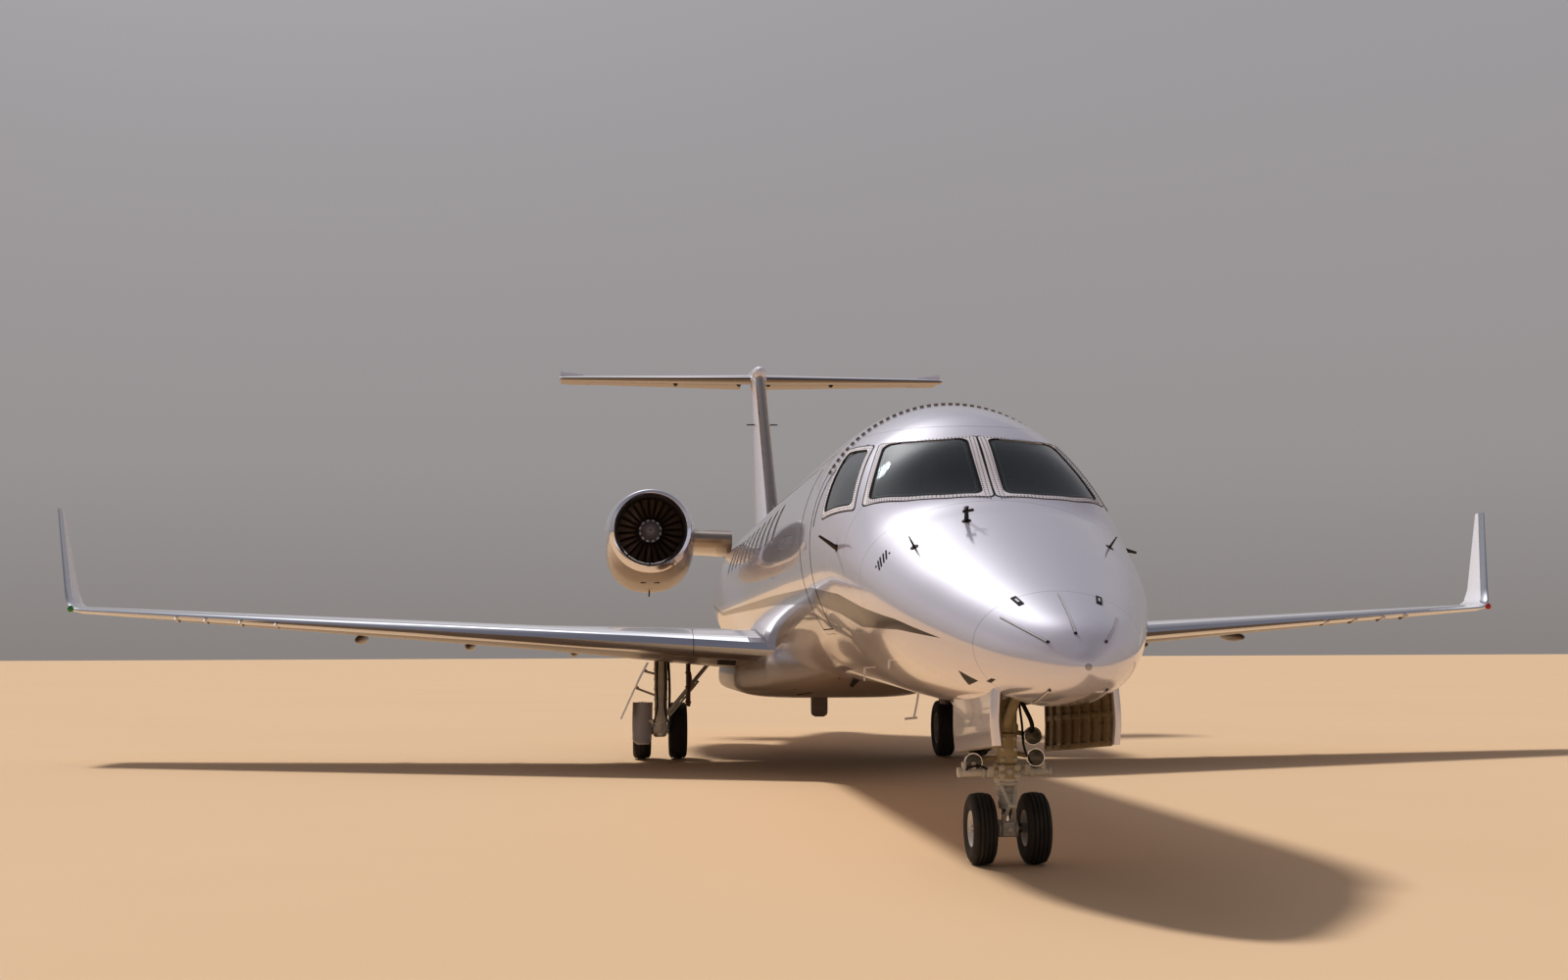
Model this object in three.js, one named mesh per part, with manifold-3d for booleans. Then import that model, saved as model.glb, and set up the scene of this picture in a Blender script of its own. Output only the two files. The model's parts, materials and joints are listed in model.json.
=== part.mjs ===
// Business jet: low wing with winglets, T-tail, two engines on the rear fuselage.
// Millimetres. +Z is up, the nose points to -Y and +X is the aircraft's left side.
// Lengthwise places are stations, measured aft from the nose tip.
import * as THREE from 'three';
import { mergeVertices } from 'three/addons/utils/BufferGeometryUtils.js';
import Module from 'manifold-3d';

const wasm = await Module();
wasm.setup();

// Driving dimensions
const LENGTH = 26330;
const HALF_SPAN = 10585;
const WALL = 90;
const FIT = 0.3; // gap between pieces that touch
const LINING_FIT = 0.9; // gap between a piece inside and the curved wall
const SWING_GAP = 7; // gap around pieces that move
const PANEL_GAP = 0.8; // gap around doors and flaps that have no joint
const PIN = { radius: 12, play: 0.8, length: 30, sides: 12 }; // hinge pins of doors and control surfaces
const SIDES = 30; // points round the fuselage

const NOSE_GEAR = { station: 2197.5, tyreRadius: 238, tyreWidth: 162, halfSpacing: 182 };
const MAIN_GEAR = { station: 14627.5, x: 2050, tyreRadius: 381, tyreWidth: 241, halfSpacing: 240 };
const ENGINE = { x: 2140, z: 3250, lip: 16960, fan: 17450, fanRadius: 489, nozzle: 20900 };
const FLOOR = { top: 1500, thick: 40 };

const y = (station) => station - LENGTH / 2;
const at = (x, station, z) => new THREE.Vector3(x, y(station), z);
const rad = THREE.MathUtils.degToRad;

// Materials
const paint = (color, roughness, metalness = 0) =>
  new THREE.MeshStandardMaterial({ color, roughness, metalness });
const WHITE = paint(0xeceaf2, 0.25);
const METAL = paint(0xb9bcc0, 0.3, 0.9);
const GREY = paint(0x8e9196, 0.5, 0.3);
const DARK = paint(0x2b2c30, 0.6);
const GLASS = paint(0x39424a, 0.1);
const RUBBER = paint(0x1c1c1e, 0.85);
const OLIVE = paint(0x7c8068, 0.6);
const LEATHER = paint(0x4a4640, 0.7);

// Closed solids: a geometry becomes a solid to be joined or cut, and a geometry again at the end
function solid(geometry) {
  const bare = geometry.clone();
  bare.deleteAttribute('normal');
  bare.deleteAttribute('uv');
  const merged = mergeVertices(bare, 1e-3);
  return new wasm.Manifold(new wasm.Mesh({
    numProp: 3,
    vertProperties: new Float32Array(merged.attributes.position.array),
    triVerts: new Uint32Array(merged.index.array),
  }));
}

function geometryOf(manifold) {
  const mesh = manifold.getMesh();
  const geometry = new THREE.BufferGeometry();
  geometry.setAttribute('position', new THREE.BufferAttribute(mesh.vertProperties, 3));
  geometry.setIndex(new THREE.BufferAttribute(mesh.triVerts, 1));
  return geometry;
}

const joined = (first, ...others) => others.reduce((sum, one) => sum.add(one), first);

// Mirrors a geometry to the other side and keeps its faces outwards
function mirrored(geometry) {
  const copy = geometry.clone();
  copy.scale(-1, 1, 1);
  const index = copy.index.array;
  for (let i = 0; i < index.length; i += 3) {
    [index[i + 1], index[i + 2]] = [index[i + 2], index[i + 1]];
  }
  return copy;
}

// A closed loft through rings of equally many points, with its ends capped by strips
function loft(rings) {
  const count = rings[0].length;
  const index = [];
  for (let r = 0; r + 1 < rings.length; r += 1) {
    for (let i = 0; i < count; i += 1) {
      const a = r * count + i;
      const b = r * count + ((i + 1) % count);
      // The diagonals of the two halves mirror each other, so left and right pieces match
      if (i < count / 2) index.push(a, b, a + count, b, b + count, a + count);
      else index.push(a, b, b + count, a, b + count, a + count);
    }
  }
  const last = (rings.length - 1) * count;
  for (let low = 0, high = count - 1; low + 1 <= high; low += 1, high -= 1) {
    for (const [base, flip] of [[0, false], [last, true]]) {
      const corners = [[low, high, low + 1]];
      if (low + 1 < high - 1) corners.push([low + 1, high, high - 1]);
      for (const [a, b, c] of corners) {
        if (a === b || b === c || a === c) continue;
        index.push(base + a, base + (flip ? c : b), base + (flip ? b : c));
      }
    }
  }
  const geometry = new THREE.BufferGeometry();
  const points = rings.flat().flatMap((p) => [p.x, p.y, p.z]);
  geometry.setAttribute('position', new THREE.Float32BufferAttribute(points, 3));
  geometry.setIndex(index);
  const made = solid(geometry);
  if (made.volume() > 0) return made;
  for (let i = 0; i < index.length; i += 3) [index[i + 1], index[i + 2]] = [index[i + 2], index[i + 1]];
  geometry.setIndex(index);
  return solid(geometry);
}

function box(x0, x1, station0, station1, z0, z1) {
  const geometry = new THREE.BoxGeometry(x1 - x0, station1 - station0, z1 - z0);
  geometry.translate((x0 + x1) / 2, y((station0 + station1) / 2), (z0 + z1) / 2);
  return solid(geometry);
}

// A round bar between two points, tapered when the second radius is given
function bar(from, to, radius, endRadius = radius, sides = 10) {
  const along = to.clone().sub(from);
  const geometry = new THREE.CylinderGeometry(endRadius, radius, along.length(), sides);
  geometry.applyQuaternion(new THREE.Quaternion().setFromUnitVectors(
    new THREE.Vector3(0, 1, 0), along.clone().normalize()));
  geometry.translate(...from.clone().add(to).multiplyScalar(0.5).toArray());
  return solid(geometry);
}

// A body turned about the Y axis through x, z; its profile is radius and station
function turned(profile, x, z, sides = 24) {
  const points = profile.map(([radius, station]) => new THREE.Vector2(radius, y(station)));
  const geometry = new THREE.LatheGeometry(points, sides);
  geometry.translate(x, 0, z);
  const made = solid(geometry);
  if (made.volume() > 0) return made;
  geometry.setIndex(Array.from(geometry.index.array).reverse());
  return solid(geometry);
}

// Two halves of ovals that meet at the widest height; the lower half may be squarer
function oval(station, top, bottom, half, wide, grow = 0, power = 2, sides = SIDES) {
  return Array.from({ length: sides }, (_, i) => {
    const angle = ((i + 0.5) / sides) * 2 * Math.PI;
    const up = Math.cos(angle);
    const side = Math.sin(angle);
    const share = up < 0 ? 2 / power : 1;
    const bend = (value) => Math.sign(value) * Math.abs(value) ** share;
    const height = (up > 0 ? top - wide : wide - bottom) + grow;
    return at((half + grow) * bend(side), station, wide + height * bend(up));
  });
}

// Fuselage outline: station, top, bottom, half width, height of the widest place
const FUSELAGE = [
  [0, 1350, 1310, 22, 1330],
  [60, 1436, 1232, 112, 1335],
  [200, 1556, 1172, 250, 1360],
  [450, 1672, 1122, 405, 1405],
  [700, 1775, 1092, 512, 1460],
  [1100, 1936, 1066, 660, 1560],
  [1600, 2140, 1050, 815, 1700],
  [2100, 2345, 1042, 920, 1850],
  [2390, 2470, 1040, 965, 1940],
  [3070, 2990, 1040, 1042, 2110],
  [3500, 3205, 1045, 1082, 2180],
  [3980, 3340, 1055, 1110, 2230],
  [4500, 3407, 1070, 1126, 2255],
  [5500, 3425, 1095, 1135, 2275],
  [7000, 3425, 1120, 1140, 2280],
  [17500, 3420, 1140, 1140, 2280],
  [18500, 3418, 1190, 1130, 2295],
  [19600, 3408, 1330, 1080, 2350],
  [21000, 3385, 1640, 950, 2480],
  [22500, 3350, 2080, 740, 2680],
  [23800, 3310, 2500, 510, 2880],
  [24600, 3270, 2780, 320, 3010],
  [24850, 3200, 2880, 170, 3040],
];

// Belly fairing outline, same columns; its lower half is squarer
const FAIRING_POWER = 4;
const FAIRING = [
  [9300, 1500, 1150, 300, 1300],
  [10200, 1560, 990, 620, 1260],
  [11200, 1660, 890, 960, 1190],
  [12200, 1740, 866, 1210, 1130],
  [15300, 1760, 865, 1220, 1130],
  [16400, 1700, 1010, 920, 1300],
  [17500, 1600, 1165, 420, 1440],
];

function between(table, station) {
  const next = table.findIndex((row) => row[0] >= station);
  if (next === -1) return [station, ...table.at(-1).slice(1)];
  if (next === 0) return table[0];
  const [a, b] = [table[next - 1], table[next]];
  const share = (station - a[0]) / (b[0] - a[0]);
  return a.map((value, i) => value + (b[i] - value) * share);
}

// The stretch of an outline from one station to another, grown or shrunk all round
function stretch(table, from, to, grow = 0, power = 2) {
  const rows = [between(table, from), ...table.filter((row) => row[0] > from && row[0] < to),
    between(table, to)];
  return loft(rows.map((row) => oval(...row, grow, power)));
}

const outer = (from, to, grow = 0) => stretch(FUSELAGE, from, to, grow);
const inner = (from, to) => stretch(FUSELAGE, from, to, -WALL);

// A hollow stretch of fuselage, open at both ends
function shell(from, to) {
  return outer(from, to).subtract(stretch(FUSELAGE, from - 1, to + 1, -WALL));
}

// A plate on edge: an outline in x, z pushed from one station to another
function slab(outline, from, to) {
  const shape = new THREE.Shape(outline.map(([x, z]) => new THREE.Vector2(x, z)));
  const geometry = new THREE.ExtrudeGeometry(shape, { depth: to - from, bevelEnabled: false });
  geometry.rotateX(Math.PI / 2);
  geometry.translate(0, y(to), 0);
  return solid(geometry);
}

// Door openings: side, station, width, sill, head; the head slopes so that a door swings out clear
const DOOR_SLOPE = 0.25;
const DOORS = {
  main: { side: 1, station: 4050, width: 720, sill: 1500, head: 3200, gap: SWING_GAP },
  service: { side: -1, station: 4150, width: 620, sill: 1560, head: 2960, gap: PANEL_GAP },
  baggage: { side: 1, station: 15750, width: 1000, sill: 1980, head: 2940, gap: PANEL_GAP },
};

function doorBlock({ side, station, width, sill, head }, shrink = 0) {
  const outline = [
    [300, sill + shrink],
    [1500, sill + shrink],
    [1500, head + DOOR_SLOPE * (1500 - 700) - shrink],
    [300, head + DOOR_SLOPE * (300 - 700) - shrink],
  ].map(([x, z]) => [side * x, z]);
  return slab(outline, station + shrink, station + width - shrink);
}

const doorIn = (door, skin) => skin.intersect(doorBlock(door, door.gap));

// The main door turns on one long pin at its sill, on the skin
const DOOR_PIVOT = { x: 866, z: 1503 };

function doorPin(play = 0) {
  const { station, width } = DOORS.main;
  return bar(at(DOOR_PIVOT.x, station + 20 - play, DOOR_PIVOT.z),
    at(DOOR_PIVOT.x, station + width - 20 + play, DOOR_PIVOT.z), PIN.radius + play, undefined, PIN.sides);
}

// Cockpit windows, left side: corners on the skin as x, station, z, going round
const WINDOWS = {
  windshield: [[66, 3048, 2970], [652, 3400, 2950], [838, 2842, 2486], [70, 2450, 2515]],
  side_window: [[725, 3485, 2934], [822, 3930, 2950], [1056, 3662, 2455], [926, 2996, 2465]],
};
const PANE = { sunk: 5, thick: 30, corner: 60 };

// The hole for a window, or the room for its pane when shrunk: its corners are cut off
function windowBlock(corners, shrink = 0) {
  const points = corners.map((corner) => at(...corner));
  const normal = points[2].clone().sub(points[0]).cross(points[3].clone().sub(points[1])).normalize();
  if (normal.x < 0) normal.negate();
  const ring = points.flatMap((point, i) => {
    const next = [points.at(i - 1), points[(i + 1) % 4]];
    const [back, on] = next.map((other) => other.clone().sub(point).normalize());
    const inset = point.clone().addScaledVector(back.clone().add(on), shrink / Math.sin(back.angleTo(on)));
    return [back, on].map((way) => inset.clone().addScaledVector(way, PANE.corner));
  });
  return loft([-260, 200].map((push) => ring.map((point) => point.clone().addScaledVector(normal, push))));
}

const bothSides = (shape) => joined(shape, solid(mirrored(geometryOf(shape))));

function pane(corners) {
  const sheet = outer(2300, 4100, -PANE.sunk).subtract(outer(2299, 4101, -PANE.sunk - PANE.thick));
  return sheet.intersect(windowBlock(corners, FIT));
}

// Lifting surfaces. A section is its leading edge x, station and z, its chord, its thickness share,
// its cant in degrees, which turns the thickness from upright to sideways, and its trailing edge's drop.
const CHORD_POINTS = [1, 0.86, 0.68, 0.48, 0.3, 0.15, 0.05, 0.012, 0];

function halfThickness(share, thick) {
  const curve = 0.2969 * Math.sqrt(share) - 0.126 * share - 0.3516 * share ** 2
    + 0.2843 * share ** 3 - 0.1036 * share ** 4;
  return 5 * thick * curve + 0.003 * share;
}

const camberAt = (share, camber) => 4 * camber * share * (1 - share);
const upOf = (cant) => new THREE.Vector3(-Math.sin(rad(cant)), 0, Math.cos(rad(cant)));

function sectionPoint([x, station, z, chord, , cant, drop], share, rise) {
  return at(x, station + chord * share, z).addScaledVector(upOf(cant), chord * rise - drop * share);
}

function foilRing(section, camber) {
  const side = (sign) => (share) => sectionPoint(section, share,
    camberAt(share, camber) + sign * halfThickness(share, section[4]));
  return [...CHORD_POINTS.map(side(1)), ...CHORD_POINTS.slice(0, -1).reverse().map(side(-1))];
}

// The rear part of a section, behind the hinge, with a round nose about the hinge
function flapRing(section, hinge, camber) {
  const radius = halfThickness(hinge, section[4]);
  const middle = (1 + hinge) / 2;
  const radiusAt = (share, sign) => [share, camberAt(share, camber)
    + sign * halfThickness(share, section[4])];
  const nose = [90, 130, 180, 230, 270].map((angle) => [
    hinge + radius * Math.cos(rad(angle)),
    camberAt(hinge, camber) + radius * Math.sin(rad(angle)),
  ]);
  const outline = [radiusAt(1, 1), radiusAt(middle, 1), ...nose, radiusAt(middle, -1), radiusAt(1, -1)];
  return outline.map(([share, rise]) => sectionPoint(section, share, rise));
}

// The section at a place along the span, read from column `by` of the table
function sectionAt(table, by, place) {
  const next = Math.max(1, table.findIndex((row) => row[by] >= place));
  const [a, b] = [table[next - 1], table[next]];
  const share = (place - a[by]) / (b[by] - a[by]);
  return a.map((value, i) => value + (b[i] - value) * share);
}

// A block round a hinge line from a to b: in front of it, behind it, and past its ends
function hingeBlock(a, b, up, { front, behind, past = 0, frontEnd = front }) {
  const along = b.clone().sub(a).normalize();
  const aft = new THREE.Vector3().crossVectors(up, along).normalize();
  if (aft.y < 0) aft.negate();
  const corner = (end, alongBy, aftBy, rise) => end.clone().addScaledVector(along, alongBy)
    .addScaledVector(aft, aftBy).addScaledVector(up, rise);
  return loft([-450, 450].map((rise) => [
    corner(a, -past, -front, rise),
    corner(b, past, -frontEnd, rise),
    corner(b, past, behind, rise),
    corner(a, -past, behind, rise),
  ]));
}

// A control surface, the room it needs between two places along the span, and its hinge pins
function control(table, by, { from, to, hinge, gap = SWING_GAP, pins = [] }, camber) {
  const places = [from - 120, Math.min(to + 120, table.at(-1)[by])];
  const sections = places.map((place) => sectionAt(table, by, place));
  const whole = loft(sections.map((section) => flapRing(section, hinge, camber)));
  const ends = [from, to].map((place) => sectionAt(table, by, place));
  const [a, b] = ends.map((section) => sectionPoint(section, hinge, camberAt(hinge, camber)));
  const [front, frontEnd] = ends.map((section) => section[3] * halfThickness(hinge, section[4]));
  const up = upOf(ends[0][5]);
  const keep = hingeBlock(a, b, up, { front: 300, behind: 1500 });
  const room = hingeBlock(a, b, up, {
    front: front + gap, frontEnd: frontEnd + gap, behind: 1500, past: gap,
  });
  const along = b.clone().sub(a).normalize();
  const pinAt = (end, play) => {
    const inward = end === 0 ? along : along.clone().negate();
    const point = end === 0 ? a : b;
    return bar(point.clone().addScaledVector(inward, -gap - PIN.length),
      point.clone().addScaledVector(inward, PIN.length + play), PIN.radius + play, undefined, PIN.sides);
  };
  const body = pins.reduce((rest, end) => rest.subtract(pinAt(end, PIN.play)), whole.intersect(keep));
  return { body, room, pins: pins.map((end) => pinAt(end, 0)), a, b, up };
}

// Wing, left side
const WING_CAMBER = 0.012;
const WING_TIP_X = 9900;
const wingLead = (x) => 10750 + 0.47 * x;
const wingHeight = (x) => 1390 + 0.0635 * x;
const WING = [
  [700, wingLead(700), wingHeight(700), 15000 - wingLead(700), 0.13, 0, 130],
  [3600, wingLead(3600), wingHeight(3600), 15000 - wingLead(3600), 0.12, 0, 100],
  [WING_TIP_X, wingLead(WING_TIP_X), wingHeight(WING_TIP_X), 1200, 0.08, 0, 0],
];
const WINGLET = [
  [10060, 15560, 2045, 1000, 0.08, 30, 0],
  [10160, 15700, 2140, 790, 0.08, 60, 0],
  [10230, 15850, 2320, 650, 0.08, 70, 0],
  [HALF_SPAN - 13, 16560, 3500, 290, 0.08, 71, 0],
];
// Panels behind the rear spar: where each starts and ends along the span, its hinge's chord share,
// its gap to the wing and the ends that have a hinge pin
const PANELS = {
  flap_inboard: { from: 1420, to: 3560, hinge: 0.8, gap: PANEL_GAP },
  flap_outboard: { from: 3820, to: 6350, hinge: 0.74, gap: PANEL_GAP },
  aileron: { from: 6650, to: 9550, hinge: 0.75, pins: [0, 1] },
};

// A plate seen from the side: an outline in station, z from one x to another
const plate = (outline, x0, x1) =>
  loft([x0, x1].map((x) => outline.map(([station, z]) => at(x, station, z))));

// Small blades under the leading edge: x, length, depth
const VORTILONS = [[7040, 330, 90], [7540, 320, 90], [8040, 300, 85], [8460, 290, 85]];

function wing() {
  let body = loft([...WING, ...WINGLET].map((section) => foilRing(section, WING_CAMBER)));
  for (const [x, length, depth] of VORTILONS) {
    const z = wingHeight(x);
    const nose = wingLead(x) - 60;
    const tail = nose + length;
    const outline = [[nose, z - 45], [tail, z - depth], [tail + 120, z - 20], [nose + 80, z]];
    body = body.add(plate(outline, x - 6, x + 6));
  }
  const panels = Object.entries(PANELS).map(([name, row]) => {
    const panel = control(WING, 0, row, WING_CAMBER);
    body = joined(body.subtract(panel.room), ...panel.pins);
    return [name, panel];
  });
  return { body, panels };
}

// Fin: the span runs up, so its sections turn their thickness sideways
const finLead = (z) => 20700 + (z - 3900);
const finTrail = (z) => 24550 + 0.34 * (z - 3600);
const finRow = (z, thick = 0.1) => [0, finLead(z), z, finTrail(z) - finLead(z), thick, 90, 0];
const FIN = [finRow(3050), finRow(4600), finRow(6450, 0.115), finRow(6900, 0.125)];
const RUDDER = { from: 3640, to: 6300, hinge: 0.72, pins: [0, 1] };
const DORSAL = [[17900, 3380], [20760, 3990], [21400, 3990], [21400, 3300], [17900, 3300]];

// Tailplane, left side, trimmed with its leading edge down, and its elevator with a horn balance at the tip
const TAIL_TRIM = 8;
const tailHeight = (station) => 6585 + (station - 24000) * Math.tan(rad(TAIL_TRIM));
const tailRow = (x, lead, chord) =>
  [x, lead, tailHeight(lead), chord, 0.09, 0, -chord * Math.tan(rad(TAIL_TRIM))];
const TAILPLANE = [tailRow(0, 23759, 2100), tailRow(3700, 25114, 1213), tailRow(3790, 25263, 1040)];
const ELEVATOR = { from: 330, to: 3690, hinge: 0.66, pins: [0], droop: 15, horn: 390 };
const HORN = { front: 150, frontEnd: 600, behind: 1500 }; // its front edge slants forward to the tip
const HORN_GAP = 28; // at the inner end, where its thick front edge turns close to the hinge

function fin() {
  const body = loft(FIN.map((section) => foilRing(section, 0)));
  const rudder = control(FIN, 2, RUDDER, 0);
  const middle = [20000, 26600].map((station) => [station, bulletHeight(station)]);
  const above = plate([...middle, [26600, 8000], [20000, 8000]], -400, 400);
  const cut = joined(rudder.room, bullet(2 * FIT), above);
  return { body: joined(body.add(plate(DORSAL, -30, 30)).subtract(cut), ...rudder.pins), rudder };
}

// The round body where the tailplane crosses the fin, tilted with it: radius, station
const BULLET = [[70, 23330], [116, 23430], [136, 23700], [136, 25300], [88, 25800]];
const bulletHeight = (station) => 6655 + (station - 23700) * Math.tan(rad(5));

function bullet(grow = 0) {
  const sides = BULLET.map(([radius, station]) => [radius + grow, station]);
  const rows = [[4, 23290 - grow], ...sides, [4, 26100 + grow]];
  return loft(rows.map(([radius, station]) =>
    oval(station, bulletHeight(station) + radius, bulletHeight(station) - radius, radius,
      bulletHeight(station), 0, 2, 20)));
}

// Nacelle: station, half width, height above and depth below the engine's axis
const NACELLE = [
  [ENGINE.lip, 562, 562, 562],
  [17010, 602, 598, 612],
  [17200, 640, 620, 690],
  [17700, 688, 636, 810],
  [18600, 708, 640, 885],
  [19500, 680, 612, 840],
  [20300, 566, 534, 620],
  [ENGINE.nozzle, 425, 425, 432],
];
// Duct through it: radius, station
const DUCT = [
  [0, 16900], [585, 16900], [546, 16960], [506, 17060], [497, 17200], [497, 17620], [524, 17760],
  [524, 19600], [380, 20960], [0, 20960],
];
const CORE = [
  [0, 17600], [190, 17600], [215, 17760], [345, 18250], [360, 19300], [270, 20300], [215, 20900],
  [120, 21060], [0, 21090],
];
const STRUTS = 8;
const BLADES = 24;

function nacelleSkin(grow = 0) {
  return loft(NACELLE.map(([station, half, up, down]) =>
    oval(station, ENGINE.z + up, ENGINE.z - down, half, ENGINE.z, grow, 2, 24).map((point) => {
      point.x += ENGINE.x;
      return point;
    })));
}

function engineCore() {
  let core = turned(CORE, 0, 0, 24);
  for (let i = 0; i < STRUTS; i += 1) {
    const strut = solid(new THREE.BoxGeometry(400, 150, 22).translate(380, y(17900), 0)
      .rotateY((i / STRUTS) * 2 * Math.PI));
    core = core.add(strut.intersect(turned([[0, 17700], [523.7, 17700], [523.7, 18100], [0, 18100]], 0, 0)));
  }
  return core;
}

// Fan: spinner and shaft about the Y axis, blades twisted from root to tip
function fan() {
  let body = turned([[0, 17190], [60, 17215], [125, 17300], [165, 17400], [172, 17560], [60, 17565],
    [60, 17599.5], [0, 17599.5]], 0, 0, 16);
  // radius, half chord, pitch in degrees from the axis
  const rows = [[150, 62, 35], [ENGINE.fanRadius - 9, 82, 62]];
  for (let i = 0; i < BLADES; i += 1) {
    const rings = rows.map(([radius, half, pitch]) => {
      const lean = rad(pitch);
      const thick = 5;
      return [[-half, 0], [0, thick], [half, 0], [0, -thick]].map(([chord, out]) => new THREE.Vector3(
        chord * Math.sin(lean) + out * Math.cos(lean),
        y(17480) + chord * Math.cos(lean) - out * Math.sin(lean),
        radius,
      ));
    });
    const blade = geometryOf(loft(rings)).rotateY((i / BLADES) * 2 * Math.PI);
    body = body.add(solid(blade));
  }
  return body;
}

// Pylon: a short thick wing between fuselage and nacelle
function pylon() {
  const rows = [[900, 17400, 3120, 3300, 0.125, 0, 0], [2140, 17500, 3180, 3000, 0.125, 0, 0]];
  return loft(rows.map((section) => foilRing(section, 0)));
}

// A tyre with its wheel, about the X axis in its own frame: half width share, radius share.
// It stands on a flat of its outline, so the flats are at the tyre's radius.
const TYRE_OUTLINE = [[0.45, 0.46], [1, 0.64], [1, 0.82], [0.7, 0.97], [0.3, 1]];
const TYRE_SIDES = 20;

function wheel(radius, width, x) {
  const corner = radius / Math.cos(Math.PI / TYRE_SIDES);
  const side = (sign) => TYRE_OUTLINE.map(([across, out]) =>
    new THREE.Vector2(out * corner, sign * across * width / 2));
  const hub = TYRE_OUTLINE[0][0] * width / 2;
  const profile = [new THREE.Vector2(0, -hub), ...side(-1), ...side(1).reverse(), new THREE.Vector2(0, hub)];
  const geometry = new THREE.LatheGeometry(profile, TYRE_SIDES);
  geometry.rotateY(Math.PI / TYRE_SIDES);
  geometry.rotateZ(-Math.PI / 2);
  geometry.translate(x, 0, 0);
  const made = solid(geometry);
  if (made.volume() > 0) return made;
  geometry.setIndex(Array.from(geometry.index.array).reverse());
  return solid(geometry);
}

// Axles have flats, so a bore's flats clear the axle's corners. Thrust rings run against the block's ends.
const MAIN_AXLE = { radius: 46, block: 88, ring: 74 };
const NOSE_AXLE = { radius: 30, block: 64, ring: 52 };
const AXLE_SIDES = 12;
const THRUST = { gap: 0.5, wide: 26 };

function twinWheels({ tyreRadius, tyreWidth, halfSpacing }, { radius, block, ring }) {
  const along = (x) => new THREE.Vector3(x, 0, 0);
  const pieces = [-1, 1].flatMap((side) => [
    wheel(tyreRadius, tyreWidth, side * halfSpacing),
    bar(along(side * (block + THRUST.gap)), along(side * (block + THRUST.wide)), ring, ring, AXLE_SIDES),
  ]);
  return joined(bar(along(-halfSpacing), along(halfSpacing), radius, radius, AXLE_SIDES), ...pieces);
}

function axleBore(x, { station, tyreRadius }, { radius }) {
  const bore = (radius + 0.6) / Math.cos(Math.PI / AXLE_SIDES);
  return bar(at(x - 200, station, tyreRadius), at(x + 200, station, tyreRadius), bore, bore, AXLE_SIDES);
}

const TRAIL = 520; // from the leg back to the axle

function mainPost(grow = 0) {
  const { station, x } = MAIN_GEAR;
  return bar(at(x, station - TRAIL, 430), at(x, station - TRAIL, 1480), 78 + grow, 91 + grow);
}

// Main leg, left side: post from the wing, trailing arm to the axle, shock strut, side stay, the bay's
// inner door, and the shield in front of the outer wheel
// The shield's height, inner x and outer x
const SHIELD = [[226, 2200, 2352], [262, 2176, 2405], [500, 2164, 2412], [766, 2160, 2405]];

function mainLeg() {
  const { station, x, tyreRadius } = MAIN_GEAR;
  const leg = station - TRAIL;
  const axle = at(x, station, tyreRadius);
  const post = mainPost();
  const arm = bar(at(x, leg, 430), axle, 72, 84);
  const side = new THREE.Vector3(MAIN_AXLE.block, 0, 0);
  const block = bar(axle.clone().sub(side), axle.clone().add(side), 92);
  const hinge = bar(at(x - 95, leg, 430), at(x + 95, leg, 430), 62);
  const shock = bar(at(x, station - 150, 430), at(x, leg + 70, 1180), 42, 58);
  const stay = bar(at(x - 20, leg, 545), at(1400, leg, 1300), 30);
  const innerDoor = box(1672, 1724, leg - 430, leg + 60, 722, 1380);
  const shield = loft(SHIELD.map(([z, x0, x1]) => [
    at(x0, leg + 96, z), at((x0 + x1) / 2, leg + 72, z), at(x1, leg + 96, z),
    at(x1, leg + 114, z), at((x0 + x1) / 2, leg + 90, z), at(x0, leg + 114, z),
  ]));
  const shieldArm = bar(at(x, leg, 520), at(2215, leg + 96, 520), 26);
  return joined(post, arm, block, hinge, shock, stay, innerDoor, shield, shieldArm)
    .subtract(axleBore(x, MAIN_GEAR, MAIN_AXLE));
}

// Door on the leg's outer side, which hangs splayed, with the links that hold it: z, x
const LEG_DOOR = [[560, 2560], [800, 2452], [1050, 2335], [1290, 2212]];

function mainGearDoor() {
  const { station, x } = MAIN_GEAR;
  const leg = station - TRAIL;
  const panel = loft(LEG_DOOR.map(([z, out]) => [
    at(out, leg - 260, z), at(out + 24, leg - 260, z), at(out + 24, leg + 260, z), at(out, leg + 260, z),
  ]));
  const links = [[830, 960], [1120, 1180]].map(([z, end]) =>
    bar(at(x, leg, z), at(between(LEG_DOOR, end)[1] + 14, leg, end), 18));
  return joined(panel, ...links).subtract(mainPost(FIT));
}

// Nose leg: post, brace, steering cylinder and lamps (side, x, station ahead, z, radius)
const NOSE_LAMPS = [[165, 90, 854, 62], [182, 90, 711, 62], [-236, 70, 682, 62]];

function noseLeg() {
  const { station } = NOSE_GEAR;
  const post = bar(at(0, station, 576), at(0, station, 1459.7), 66, 74, 16);
  const brace = bar(at(0, station, 900), at(0, station - 820, 1425), 34);
  const foot = bar(at(-90, station - 820, 1425), at(90, station - 820, 1425), 34);
  const steering = bar(at(-345, station - 60, 616), at(290, station - 60, 616), 30);
  const collar = bar(at(0, station, 576), at(0, station, 670), 86, 86, 16);
  const lamps = NOSE_LAMPS.map(([x, ahead, z, radius]) =>
    joined(bar(at(0, station, z + 30), at(x, station - ahead + 40, z), 16),
      bar(at(x, station - ahead, z), at(x, station - ahead + 75, z), radius, radius * 0.7, 14)));
  return joined(post, brace, foot, steering, collar, ...lamps);
}

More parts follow.
